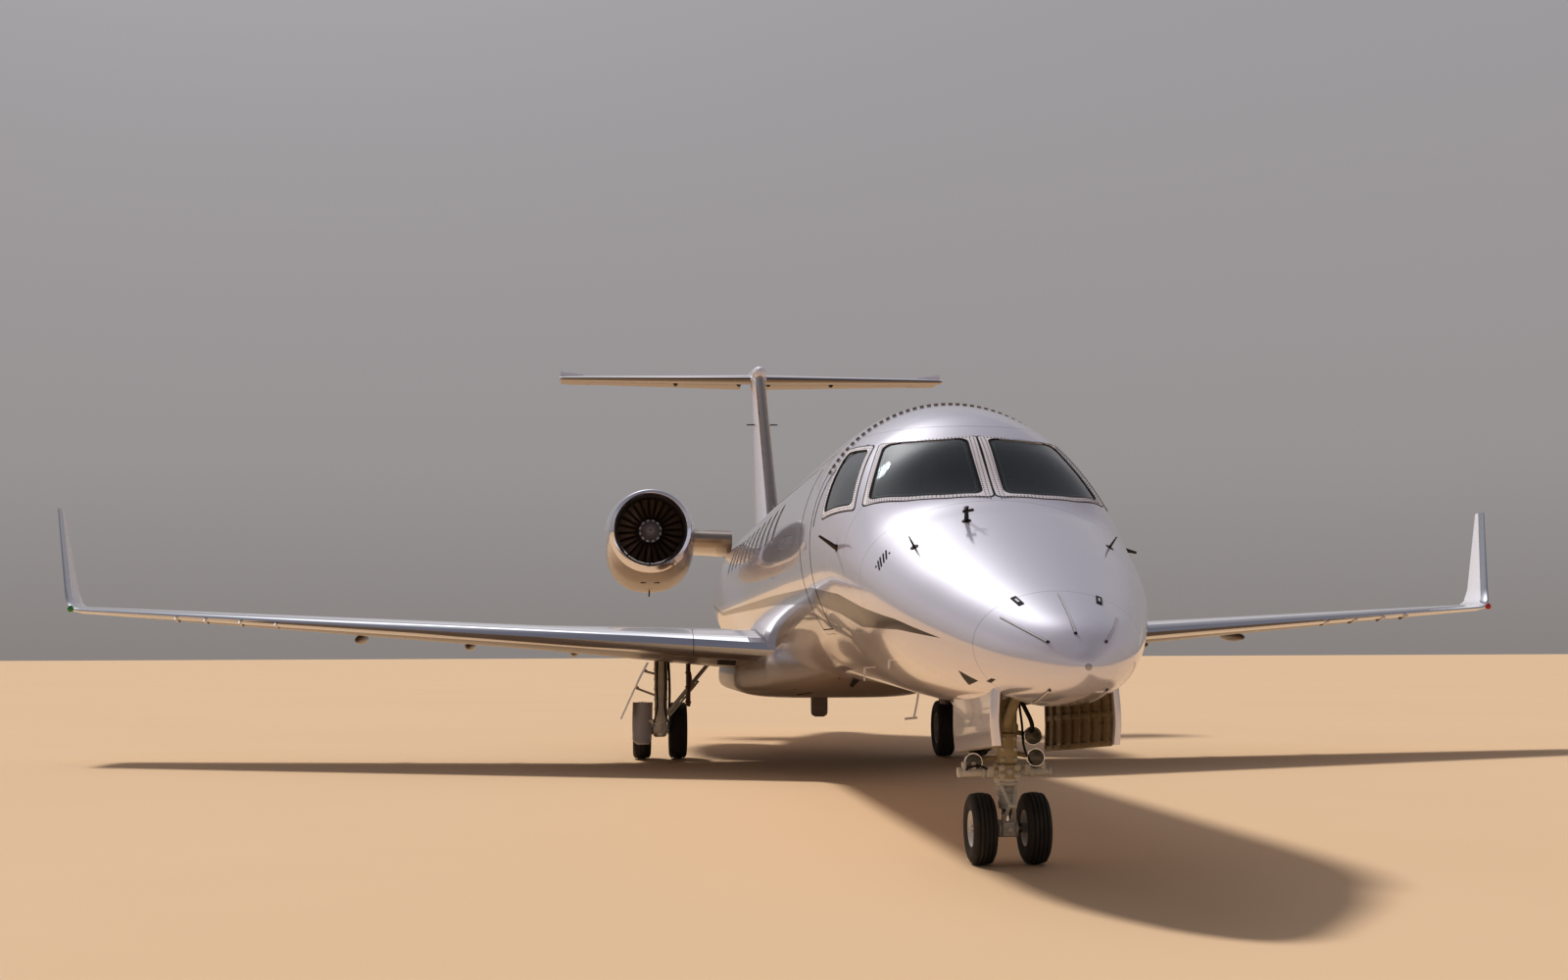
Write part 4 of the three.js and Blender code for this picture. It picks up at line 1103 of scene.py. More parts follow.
wing_finish = leading_edge_finish("wing_skin", wing_edge_aft, BARE_EDGE, WING_PAINT, ([13.4], [], None))
panel_finish = paint_finish("wing_panels", color=WING_PAINT)
# Below the wing's middle height, away from the bare edge, painted shade darkens the paint.
for finish in (wing_finish, panel_finish):
    shade_under_wing = fade(abs(finish.x) * WING_RISE + 1.385 - finish.z, 0.05)
    bare = 0.0
    if finish is wing_finish:
        bare = finish.fed("Metallic")
        shade_under_wing = shade_under_wing * (1 - bare)
        joint = seam(abs(finish.x), ROOT_JOINT, 0.004)
        finish.feed(finish.shader["Base Color"], finish.blend(joint, finish.fed("Base Color"), JOINT_SHADE))
    paint_underside_shade(finish, shade_under_wing, UNDER_WING_PAINTED_SHADE, bare)
for hand in ("left", "right"):
    dress(f"wing_{hand}", wing_finish, 40)
    for node in ("flap_inboard", "flap_outboard", "aileron"):
        dress(f"{node}_{hand}", panel_finish, 40)

# Landing light panes in the wing's root: x and height of each corner, and its ways outwards
LIGHT_PANE = ((1.22, 1.322, -1, 1), (1.43, 1.332, 1, 1), (1.42, 1.276, 1, -1), (1.21, 1.266, -1, -1))
# The panes are black: painted shade for the lamp bay behind them, which is not built.
light_panes, light_frames = [], []
for side, hand in ((1, "left"), (-1, "right")):
    wing_mesh = bmesh.new()
    wing_mesh.from_mesh(frame["nodes"][f"wing_{hand}"].data)
    wing_tree = BVHTree.FromBMesh(wing_mesh)
    for grow, thick, parts in ((0.0, 0.004, light_panes), (0.012, 0.002, light_frames)):
        outline = [at(side * (x + out * grow), 10.5, z + up * grow) for x, z, out, up in LIGHT_PANE]
        parts.append(plate_on(wing_tree, outline, (0, 1, 0), thick))
mount(link(join_meshes(light_panes), "landing_light_panes", black_paint_and_shade), "airframe")
mount(link(join_meshes(light_frames), "landing_light_frames", strip_metal), "airframe")

# Flap track fairings under the wing, and static wicks at its trailing edge, which are joined further on
FLAP_TRACKS = (1.9, 3.2, 4.6, 6.1)
WICKS = (7.2, 7.9, 8.6, 9.3)
POD_SHAPE = [(0, 0), (0.035, 0.10), (0.062, 0.35), (0.066, 0.60), (0.045, 0.90), (0.012, 1.10), (0, 1.12)]


def trailing_edge(x):
    return 15.0 if x < 3.6 else 15.0 + (x - 3.6) / 6.3 * 1.603


def wing_height(x):
    return 1.39 + WING_RISE * x


pods, wicks = [], []
for side in (1, -1):
    for x in FLAP_TRACKS:
        start = at(side * x, trailing_edge(x) - 0.92, wing_height(x) - 0.20 + 0.02)
        pods.append(lathe(POD_SHAPE, start, (0, 1, 0.03), 20))
    for x in WICKS:
        base = at(side * x, trailing_edge(x) - 0.01, wing_height(x))
        wicks.append(rod(base, base + Vector((0, 0.14, -0.01)), 0.004, 0.002, 8))
mount(smooth(link(join_meshes(pods), "flap_track_fairings", panel_finish), 60), "airframe")


# Tail
# Swept fin with a bare leading edge, a rudder, and the trimmed tailplane with its elevators on top, all
# aluminium. Side rods on the fin and small bumps at the hinges.
FIN_EDGE_METAL, TAILPLANE_EDGE_METAL = (176, 166, 158), (128, 118, 110)
FIN_LEAD = 16.8
TAILPLANE_LEAD, TAILPLANE_SWEEP, TAILPLANE_TRIM = 23.759, 0.3662, 0.1405
# The colour under the tailplane and elevators: painted shade and painted reflection of the floor.
UNDER_TAIL_PAINTED_SHADE = linear(150, 138, 130)


def fin_aft(finish):
    return finish.y + (NOSE_AT - FIN_LEAD) - finish.z


def tailplane_aft(finish):
    inside_bullet = (abs(finish.x) < 0.15) * 5
    return finish.y + (NOSE_AT - TAILPLANE_LEAD) - abs(finish.x) * TAILPLANE_SWEEP + inside_bullet


fin_finish = leading_edge_finish("fin_skin", fin_aft, 0.15, metal=FIN_EDGE_METAL)
tail_finish = leading_edge_finish("tailplane_skin", tailplane_aft, 0.11, metal=TAILPLANE_EDGE_METAL)
control_paint = paint_finish("control_paint")
# Below the tailplane's middle height the paint darkens with painted shade.
for finish in (tail_finish, control_paint):
    height_of_middle = (finish.y + (NOSE_AT - 24.0)) * TAILPLANE_TRIM + 6.58
    below = fade(height_of_middle - finish.z, 0.03) * (finish.z > 6.3)
    bare = finish.fed("Metallic") if finish is tail_finish else 0.0
    paint_underside_shade(finish, below * (1 - bare), UNDER_TAIL_PAINTED_SHADE, bare)
dress("fin", fin_finish, 40)
dress("tailplane", tail_finish, 40)
for node in ("rudder", "elevator_left", "elevator_right"):
    dress(node, control_paint, 40)
tail_bits = []
for side in (1, -1):
    tail_bits.append(rod(at(0, 23.0, 5.59), at(side * 0.285, 23.0, 5.59), 0.016, 0.010))
    for x, z in ((0.29, 6.66), (1.53, 6.66)):
        tail_bits.append(lathe([(0, 0), (0.03, 0.04), (0.045, 0.14), (0.03, 0.30), (0, 0.40)],
                               at(side * x, 25.0, z - 0.03), (0, 1, 0.14), 16))
mount(smooth(link(join_meshes(tail_bits), "tail_rods_and_bumps", dark_metal_and_shadow)), "airframe")


# Engines
# Nacelles with a polished intake lip, a wide fan behind it with white index marks on its spinner, and the
# hot nozzle at the back. A faired pylon carries each on the fuselage.
ENGINE = {"x": 2.14, "z": 3.25}
NACELLE = (  # station, half width, height above and depth below the axis
    (16.968, 0.567, 0.567, 0.567),
    (17.01, 0.602, 0.598, 0.612),
    (17.20, 0.640, 0.620, 0.690),
    (17.70, 0.688, 0.636, 0.810),
    (18.60, 0.708, 0.640, 0.885),
    (19.50, 0.680, 0.612, 0.840),
    (20.30, 0.566, 0.534, 0.620),
    (20.90, 0.425, 0.425, 0.432),
)
DUCT = (  # station and radius, from the nozzle to the lip
    (20.896, 0.400), (20.30, 0.450), (19.60, 0.518), (17.76, 0.521), (17.62, 0.506), (17.20, 0.510),
    (17.06, 0.516), (17.03, 0.519), (17.00, 0.525), (16.972, 0.537), (16.960, 0.550))
LIP_ENDS = 17.07
FLAT_FROM = 16.95
SPINNER = [(0, 0), (0.035, 0.008), (0.075, 0.035), (0.13, 0.105), (0.168, 0.20), (0.180, 0.30),
           (0.176, 0.375), (0, 0.375)]
MARKS = 12
# The pylons are white paint; their tan tone is a painted reflection of the floor.
pylon_painted_reflection = paint_finish("pylon_paint", color=linear(156, 140, 124))
nacelle_paint = paint_finish("nacelle_paint", seams=([17.62, 18.9, 20.2], [3.25], None),
                             color=linear(232, 230, 236))
lip = nacelle_paint.y < LIP_ENDS - NOSE_AT
polished = nacelle_paint.blend(lip, nacelle_paint.fed("Base Color"), linear(232, 232, 238))
nacelle_paint.feed(nacelle_paint.shader["Base Color"], polished)
nacelle_paint.feed(nacelle_paint.shader["Roughness"], nacelle_paint.fed("Roughness") * (1 - lip * 0.7))
# Below the engine's axis, behind the lip, the paint darkens: painted shade and painted reflection of the
# shaded floor.
paint_underside_shade(nacelle_paint, fade(3.20 - nacelle_paint.z, 0.5) * (1 - lip), linear(140, 124, 112), lip * 0.3 + 0.7)
# The duct liner's dark tone is partly its own colour and partly painted shade inside the intake.
duct_liner = metal_finish("duct_liner", linear(70, 62, 58), 0.6, metallic=0.0)
fan_metal = metal_finish("fan_blades", linear(130, 104, 86), 0.38, metallic=0.8)
spinner_paint = metal_finish("spinner_paint", linear(134, 126, 124), 0.45, metallic=0.1)
white_marks = metal_finish("spinner_marks", linear(250, 250, 250), 0.5, metallic=0.0, dirt=0.05)
hot_metal = metal_finish("nozzle_metal", linear(150, 138, 126), 0.3, (1, 0.1, 1))
for side, hand in ((1, "left"), (-1, "right")):
    mesh = bmesh.new()
    rings = [ring_of(mesh, station, radius, -radius, radius, 0) for station, radius in DUCT]
    front, rear = NACELLE[0][0], NACELLE[-1][0]
    for i in range(61):
        station = front + (rear - front) * (i / 60) ** 1.6
        half, up, down = smooth_row(NACELLE, station, key=lambda value: sqrt(value - FLAT_FROM))
        rings.append(ring_of(mesh, station, up, -down, half, 0))
        fullness = 2 + 0.45 * min(1.0, (station - front) / 0.5)
        for vert in rings[-1]:
            if vert.co.z < 0:
                across, below = abs(vert.co.x / half), -vert.co.z / down
                reach = (across ** fullness + below ** fullness) ** (-1 / fullness)
                vert.co.x *= reach
                vert.co.z *= reach
    join_rings(mesh, rings)
    join_rings(mesh, [rings[-1], rings[0]])
    axis = Vector((side * ENGINE["x"], 0, ENGINE["z"]))
    bmesh.ops.translate(mesh, vec=axis, verts=mesh.verts[:])
    bmesh.ops.recalc_face_normals(mesh, faces=mesh.faces[:])
    nacelle = smooth(link(mesh, f"nacelle_{hand}_skin", nacelle_paint), 50)
    nacelle.data.materials.append(duct_liner.material)
    for face in nacelle.data.polygons:
        place = face.center - axis
        inwards = face.normal.dot(Vector((place.x, 0, place.z))) < 0
        if place.y > 17.03 - NOSE_AT and hypot(place.x, place.z) < 0.53 and inwards:
            face.material_index = 1
    mount(nacelle, "airframe", f"nacelle_{hand}")
    dress(f"engine_{hand}", hot_metal)
    dress(f"pylon_{hand}", pylon_painted_reflection)
    dress(f"fan_{hand}", fan_metal)
    centre = at(side * ENGINE["x"], 17.18, ENGINE["z"])
    spinner = smooth(link(lathe(SPINNER, centre, (0, 1, 0), 40), f"spinner_{hand}", spinner_paint))
    marks = []
    for i in range(MARKS):
        turn = Matrix.Rotation(2 * pi * (i + 0.5) / MARKS, 4, "Y")
        mark = Matrix.Translation(centre + Vector((0, 0.172, 0))) @ turn @ Matrix.Translation((0, 0, 0.1595))
        marks.append(block_of((0.048, 0.070, 0.006), mark @ Matrix.Rotation(radians(21), 4, "X"), 0.002))
    marks = link(join_meshes(marks), f"spinner_marks_{hand}", white_marks)
    tip = link(lathe([(0, -0.002), (0.014, 0.0), (0.016, 0.006), (0, 0.006)], centre, (0, 1, 0), 24),
               f"spinner_tip_{hand}", black_paint_and_shade)
    for piece in (spinner, marks, tip):
        mount(piece, f"fan_{hand}")
    # The slots are black blocks: painted shade for their openings.
    slots = []
    for dx in (-0.10, 0.10):
        place = Matrix.Translation(at(side * ENGINE["x"] + dx, 17.52, ENGINE["z"] - 0.776))
        slots.append(block_of((0.085, 0.045, 0.008), place @ Matrix.Rotation(radians(-16), 4, "X"), 0.003))
    low = ENGINE["z"] - 0.85
    slots.append(prism([at(side * ENGINE["x"], station, low + dz)
                        for station, dz in ((18.30, 0.0), (18.42, 0.0), (18.46, -0.11), (18.40, -0.11))],
                       (1, 0, 0), -0.010, 0.010))
    mount(link(join_meshes(slots), f"nacelle_{hand}_slots_and_drain", black_paint_and_shade), "airframe")


# Cockpit
# Seen through the glass: an instrument panel under a padded glareshield, screens, a pedestal with its
# levers, two control wheels on columns, and two leather seats on the carpeted floor.
def worn_paint(name, color, roughness, metallic=0.0, grain=25.0, worn=0.12, depth=0.0004, under=(40, 36, 32),
               squeeze=(1, 1, 1), **uniform):
    """A worn single-colour finish: its tone, gloss and surface vary a little."""
    finish = new_finish(name, Metallic=metallic, **uniform)
    mottle = noise(finish, grain, 5, 0.6, squeeze)
    finish.feed(finish.shader["Base Color"], finish.blend(mottle * worn * 2, color, linear(*under)))
    finish.feed(finish.shader["Roughness"], mottle * 0.2 + (roughness - 0.1))
    bump(finish, mottle, depth, 0.3)
    return finish


def add(parts, name, finish, body, angle=35, replaces=None):
    """Joins some meshes into one smooth piece that rides on a body."""
    piece = smooth(link(join_meshes(parts), name, finish), angle)
    mount(piece, body, replaces)
    return piece


def slab(x, station, z, bevel=0.0):
    """A block from the ranges that it covers."""
    ranges = (x, station, z)
    middle = at(*[(low + high) / 2 for low, high in ranges])
    return block_of([high - low for low, high in ranges], Matrix.Translation(middle), bevel)


def pad(x, station, z, crown, axis, edge=0.03):
    """A crowned pad: a block with round edges that swells along one axis towards its middle."""
    ranges = (x, station, z)
    size = Vector([high - low for low, high in ranges])
    mesh = bmesh.new()
    bmesh.ops.create_cube(mesh, size=1, matrix=Matrix.Diagonal((*size, 1)))
    bmesh.ops.bevel(mesh, geom=mesh.edges[:], offset=edge, segments=4, profile=0.5, affect="EDGES",
                    material=-1)
    bmesh.ops.subdivide_edges(mesh, edges=[e for e in mesh.edges if e.calc_length() > edge * 2], cuts=7,
                              use_grid_fill=True)
    for vert in mesh.verts:
        share = 1.0
        for other in range(3):
            if other != axis:
                share *= 1 - (2 * vert.co[other] / size[other]) ** 2
        vert.co[axis] += crown * share * (1 if vert.co[axis] > 0 else -0.2)
    bmesh.ops.translate(mesh, vec=at(*[(low + high) / 2 for low, high in ranges]), verts=mesh.verts[:])
    bmesh.ops.recalc_face_normals(mesh, faces=mesh.faces[:])
    return mesh


carpet = worn_paint("carpet", linear(104, 102, 102), 0.9, grain=220, worn=0.3, depth=0.002)
trim_grey = worn_paint("cockpit_lining", linear(122, 122, 126), 0.6, grain=120)
dark_trim = worn_paint("instrument_trim", linear(40, 40, 44), 0.65, grain=160)
leather = worn_paint("seat_leather", linear(96, 84, 72), 0.5, grain=260, worn=0.25, depth=0.001)
screen_glass = worn_paint("screen_glass", linear(12, 16, 22), 0.18, grain=8, worn=0.05, depth=0.0,
                          Coat_Weight=0.8)
dress("floor", carpet)
dress("cockpit_wall", trim_grey)
dress("instrument_panel", dark_trim)
SCREEN_FACE = (2.898, 2.908)
SEAT_MIDDLE = 0.43
screens = [slab((x - 0.10, x + 0.10), SCREEN_FACE, (2.06, 2.24), 0.004) for x in (-0.56, -0.33, 0.33, 0.56)]
screens += [slab((-0.19, 0.19), SCREEN_FACE, (2.02, 2.26), 0.004)]
add(screens, "cockpit_screens", screen_glass, "airframe")
levers = []
for x in (-0.09, -0.03, 0.03, 0.09):
    top = at(x, 3.10 if abs(x) < 0.05 else 3.22, 2.10)
    levers.append(rod(top + Vector((0, 0.03, -0.14)), top, 0.008))
    levers.append(block_of((0.035, 0.03, 0.03), Matrix.Translation(top), 0.008))
for x in (-SEAT_MIDDLE, SEAT_MIDDLE):
    hub = at(x, 3.03, 2.10)
    levers.append(rod(at(x, 3.00, 1.505), hub, 0.030, 0.022))
    levers.append(rod(hub + Vector((-0.15, 0, 0)), hub + Vector((0.15, 0, 0)), 0.018))
    levers += [rod(hub + Vector((dx, 0.0, -0.02)), hub + Vector((dx * 1.15, 0.03, 0.13)), 0.019, 0.016)
               for dx in (-0.15, 0.15)]
add(levers, "control_wheels", dark_trim, "airframe")
for side, hand in ((1, "left"), (-1, "right")):
    x = side * SEAT_MIDDLE
    seat = f"pilot_seat_{hand}"
    base = [slab((x - 0.15, x + 0.15), (3.30, 3.62), (1.505, 1.76), 0.02)]
    base += [slab((x + dx - 0.03, x + dx + 0.03), (3.36, 3.68), (2.05, 2.10), 0.02) for dx in (-0.27, 0.27)]
    add(base, seat + "_base", dark_trim, "airframe", replaces=seat)
    pads = {
        "cushion": pad((x - 0.24, x + 0.24), (3.18, 3.66), (1.76, 1.88), 0.03, 2),
        "back": pad((x - 0.23, x + 0.23), (3.64, 3.74), (1.87, 2.50), -0.03, 1),
        "headrest": pad((x - 0.13, x + 0.13), (3.65, 3.74), (2.53, 2.73), -0.02, 1),
    }
    for part, mesh in pads.items():
        piece = add([mesh], f"{seat}_{part}", leather, "airframe", 60)


# Wheels
# Forged rims painted white or grey with cooling holes, hub caps and tie bolts, in grooved black tyres. Two
# share an axle.
rubber = worn_paint("tyre_rubber", linear(26, 26, 27), 0.8, grain=14, worn=0.35, depth=0.0008,
                    under=(86, 80, 72))
white_rim = worn_paint("white_rim", linear(226, 224, 220), 0.35, grain=18, worn=0.15)
steel = metal_finish("bright_steel", linear(196, 196, 200), 0.2)


def tyre(radius, width, rim_radius):
    """A tyre about the origin, its axle along X, with four grooves round its tread."""
    wall = radius - rim_radius

    def crown(share):
        return radius - 0.45 * width * share ** 2
    profile = [(rim_radius, -0.38), (rim_radius + 0.15 * wall, -0.43), (rim_radius + 0.45 * wall, -0.498),
               (rim_radius + 0.72 * wall, -0.485), (crown(0.45) - 0.012, -0.45), (crown(0.40), -0.40)]
    for groove in (-0.27, -0.09, 0.09, 0.27):
        profile += [(crown(groove), groove - 0.030), (crown(groove) - 0.008, groove - 0.020),
                    (crown(groove) - 0.008, groove + 0.020), (crown(groove), groove + 0.030)]
    profile += [(r, -share) for r, share in profile[5::-1]] + [profile[0]]
    return lathe([(r, share * width) for r, share in profile], (0, 0, 0), (1, 0, 0), 72)


RIM_SHAPE = (  # shares of the rim's radius and the tyre's width, from the hub out, over the barrel and back
    (0, 0.30), (0.20, 0.30), (0.25, 0.28), (0.28, 0.20), (0.36, 0.16), (0.80, 0.12), (0.88, 0.18),
    (0.95, 0.35), (1.03, 0.405), (1.10, 0.40), (1.11, 0.375), (1.00, 0.36), (0.99, 0.0), (1.00, -0.36),
    (1.11, -0.375), (1.10, -0.40), (1.03, -0.405), (0.95, -0.35), (0.88, 0.0), (0.80, 0.04), (0.36, 0.05),
    (0.34, -0.25), (0, -0.25))


def rim_piece(rim_radius, width, holes, name):
    """A rim about the origin, its outer side towards +X, with round cooling holes cut through its web."""
    profile = [(r * rim_radius, share * width) for r, share in RIM_SHAPE]
    rim_object = link(lathe(profile, (0, 0, 0), (1, 0, 0), 60), name)
    drills = []
    for i in range(holes):
        turn = 2 * pi * i / holes
        place = Vector((0, cos(turn), sin(turn))) * 0.62 * rim_radius
        drills.append(rod(place + Vector((-0.1 * width, 0, 0)), place + Vector((0.25 * width, 0, 0)),
                          0.115 * rim_radius, steps=14))
    return cut(rim_object, link(join_meshes(drills), "drills"))


def bolts_of(rim_radius, width, count):
    """Tie bolts round a rim's web and screws on its hub cap."""
    parts = []
    for number, reach, size, face in ((count, 0.44, 0.055, 0.155), (6, 0.19, 0.035, 0.30)):
        for i in range(number):
            turn = 2 * pi * (i + 0.5) / number
            place = Vector((face * width, reach * rim_radius * cos(turn), reach * rim_radius * sin(turn)))
            end = place + Vector((0.05 * width + 0.003, 0, 0))
            parts.append(rod(place, end, size * rim_radius, steps=6))
    return join_meshes(parts)


def placed(mesh, matrix):
    """A copy of a mesh, moved or mirrored, as a bmesh."""
    copied = bmesh.new()
    copied.from_mesh(mesh)
    bmesh.ops.transform(copied, matrix=matrix, verts=copied.verts[:])
    bmesh.ops.recalc_face_normals(copied, faces=copied.faces[:])
    return copied


def wheel_set(node, middle, spacing, radius, width, rim_radius, holes, rim_finish):
    """A pair of wheels on one axle, their outer sides outwards."""
    tyre_one = link(tyre(radius, width, rim_radius), node + "_tyre_one")
    rim_one = rim_piece(rim_radius, width, holes, node + "_rim_one")
    bolts_one = link(bolts_of(rim_radius, width, holes), node + "_bolts_one")
    places = [Matrix.Translation(middle + Vector((side * spacing, 0, 0))) @ Matrix.Diagonal((side, 1, 1, 1))
              for side in (1, -1)]
    axle = rod(middle - Vector((spacing, 0, 0)), middle + Vector((spacing, 0, 0)), rim_radius * 0.30)
    tyres, rims, bolts = ([placed(single.data, place) for place in places]
                          for single in (tyre_one, rim_one, bolts_one))
    add(tyres, node + "_tyres", rubber, node, 30, node)
    add(rims, node + "_rims", rim_finish, node, 40)
    add([*bolts, axle], node + "_bolts", steel, node)
    for single in (tyre_one, rim_one, bolts_one):
        bpy.data.objects.remove(single)


# Nose gear
# An olive painted leg in the nose bay: castings, a drag brace, pale steering cylinders across it, three
# lamps and black hoses. The chromed piston with its torque links and axle turns with the steering.
NOSE_LEG = 2.1975
NOSE_AXLE = 0.2383
NOSE_LAMPS = (  # x, distance ahead of the leg, height and radius
    (0.165, 0.090, 0.854, 0.062),
    (0.182, 0.090, 0.711, 0.062),
    (-0.236, 0.070, 0.682, 0.062),
)


def by_leg(x, ahead, z):
    return at(x, NOSE_LEG - ahead, z)


def tube(points, radius, sides=10, fine=6):
    """A hose or pipe on a smooth curve through some points."""
    knots = [Vector(point) for point in points]
    knots = [2 * knots[0] - knots[1], *knots, 2 * knots[-1] - knots[-2]]
    path = []
    for a, b, c, d in zip(knots, knots[1:], knots[2:], knots[3:]):
        for i in range(fine):
            t = i / fine
            path.append((2 * b + (c - a) * t + (2 * a - 5 * b + 4 * c - d) * t ** 2
                         + (3 * b - a - 3 * c + d) * t ** 3) / 2)
    path.append(knots[-2])
    mesh = bmesh.new()
    turn = (path[1] - path[0]).to_track_quat("Z", "Y")
    rings = []
    for i, place in enumerate(path):
        ahead = path[min(i + 1, len(path) - 1)] - path[max(i - 1, 0)]
        turn = (turn @ Vector((0, 0, 1))).rotation_difference(ahead) @ turn
        matrix = Matrix.Translation(place) @ turn.to_matrix().to_4x4()
        rings.append(bmesh.ops.create_circle(mesh, segments=sides, radius=radius, matrix=matrix)["verts"])
    closed_loft(mesh, rings)
    return mesh


BROKEN = 0.003


def stacked(levels, start, way, steps=32):
    """A turned piece with steps: each level is a radius and the distance where it ends, its edges broken."""
    profile, low = [(0, 0)], 0.0
    for radius, high in levels:
        profile += [(radius - BROKEN, low), (radius, low + BROKEN),
                    (radius, high - BROKEN), (radius - BROKEN, high)]
        low = high
    return lathe([*profile, (0, low)], start, way, steps)


olive = worn_paint("olive_casting", linear(212, 196, 160), 0.45, grain=16, worn=0.22, under=(52, 42, 30))
pale_casting = worn_paint("pale_casting", linear(228, 222, 212), 0.4, grain=20, worn=0.2, under=(90, 80, 66))
chrome = metal_finish("chrome", linear(226, 228, 234), 0.1, dirt=0.05)
hose_rubber = worn_paint("hose_rubber", linear(20, 20, 21), 0.55, grain=60)
lamp_glass = worn_paint("lamp_glass", linear(58, 60, 62), 0.15, grain=10, worn=0.3, under=(150, 140, 110),
                        Coat_Weight=1.0)
bump(lamp_glass, lamp_glass.node("ShaderNodeTexWave", {"Vector": lamp_glass.place, "Scale": 22.0},
                                 bands_direction="Z"), 0.003, 0.6)
castings = [
    stacked([(0.084, 0.094), (0.068, 0.26), (0.076, 0.29), (0.068, 0.44), (0.076, 0.47), (0.070, 0.66),
             (0.079, 0.70), (0.073, 0.8837)], by_leg(0, 0, 0.576), (0, 0, 1)),
    block_of((0.150, 0.150, 0.092), Matrix.Translation(by_leg(0, 0.035, 0.622)), 0.012),
    block_of((0.118, 0.060, 0.210), Matrix.Translation(by_leg(0, 0.060, 0.770)), 0.016),
    rod(by_leg(0, 0.0, 0.90), by_leg(0, 0.82, 1.425), 0.036, 0.030),
    rod(by_leg(-0.28, 0.82, 1.425), by_leg(0.28, 0.82, 1.425), 0.030),
    rod(by_leg(-0.075, 0.02, 0.905), by_leg(0.075, 0.02, 0.905), 0.030),
]
castings += [rod(by_leg(x, 0.055, 0.69), by_leg(x * 1.25, 0.050, 1.33), 0.016) for x in (-0.044, 0.044)]
castings += [rod(by_leg(x * 0.2, -0.01, z + 0.03), by_leg(x, ahead - 0.06, z), 0.016)
             for x, ahead, z, radius in NOSE_LAMPS]
add(castings, "nose_leg_castings", olive, "airframe", replaces="nose_leg")
pale = [
    stacked([(0.034, 0.022), (0.030, 0.165), (0.036, 0.185), (0.027, 0.270)],
            by_leg(-0.345, 0.06, 0.616), (1, 0, 0)),
    stacked([(0.034, 0.020), (0.028, 0.120), (0.035, 0.150), (0.028, 0.215)],
            by_leg(0.290, 0.06, 0.616), (-1, 0, 0)),
    block_of((0.055, 0.05, 0.075), Matrix.Translation(by_leg(-0.125, 0.07, 0.620)), 0.01),
    block_of((0.045, 0.05, 0.065), Matrix.Translation(by_leg(0.125, 0.07, 0.640)), 0.01),
]
pale += [stacked([(0.022, 0.010), (0.013, 0.020)], by_leg(x, 0.109, z), (0, -1, 0), 16)
         for x, z in ((0, 0.622), (-0.052, 0.648), (0.052, 0.648), (-0.052, 0.596), (0.052, 0.596))]
pale += [stacked([(0.016, 0.008), (0.010, 0.015)], by_leg(x, 0.089, z), (0, -1, 0), 12)
         for x in (-0.042, 0.042) for z in (0.70, 0.77, 0.84)]
pale += [block_of((0.030, 0.045, 0.060), Matrix.Translation(by_leg(x, 0.06, 0.655)), 0.006)
         for x in (-0.235, -0.30, 0.235)]
add(pale, "steering_cylinders", pale_casting, "airframe")
# Shares of a lamp's radius and distances behind its front
LAMP_RIM = ((0.85, 0.006), (0.90, 0), (0.97, 0), (1, 0.007), (1, 0.024), (0.85, 0.024), (0.85, 0.006))
LAMP_LENS = ((0, 0.004), (0.5, 0.006), (0.88, 0.012), (0.88, 0.018), (0, 0.018))
LAMP_BODY = ((0, 0.017), (0.96, 0.017), (0.94, 0.032), (0.76, 0.058), (0.4, 0.075), (0, 0.075))
lamp_rims, lamp_lenses, lamp_bodies = [], [], []
for x, ahead, z, radius in NOSE_LAMPS:
    front = by_leg(x, ahead, z)
    for parts, shape in ((lamp_rims, LAMP_RIM), (lamp_lenses, LAMP_LENS), (lamp_bodies, LAMP_BODY)):
        parts.append(lathe([(radius * share, back) for share, back in shape], front, (0, 1, 0)))
    half_pin = Vector((0, 0, radius * 0.8))
    pin_middle = front + Vector((0, 0.05, 0))
    lamp_bodies.append(rod(pin_middle - half_pin, pin_middle + half_pin, 0.012))
add(lamp_rims, "nose_lamp_rims", chrome, "airframe")
add(lamp_lenses, "nose_lamp_lenses", lamp_glass, "airframe")
add(lamp_bodies, "nose_lamp_bodies", dark_metal_and_shadow, "airframe")
NOSE_HOSES = (  # radius, then x, distance ahead of the leg and height of each point
    (0.015, (0.03, 0.075, 1.32), (0.075, 0.10, 1.12), (0.145, 0.115, 0.96), (0.155, 0.10, 0.90),
     (0.15, 0.03, 0.86)),
    (0.008, (0.085, 0.02, 1.10), (0.10, 0.05, 0.93), (0.105, 0.08, 0.78), (0.16, 0.08, 0.66),
     (0.20, 0.055, 0.645)),
    (0.008, (-0.075, 0.04, 1.25), (-0.085, 0.06, 1.0), (-0.10, 0.08, 0.80), (-0.17, 0.03, 0.74),
     (-0.22, 0.02, 0.68)),
    (0.007, (-0.15, 0.10, 0.64), (-0.21, 0.105, 0.66), (-0.27, 0.10, 0.65), (-0.29, 0.08, 0.63)),
)
hoses = [tube([by_leg(*point) for point in points], radius) for radius, *points in NOSE_HOSES]
add(hoses, "nose_leg_hoses", hose_rubber, "airframe")

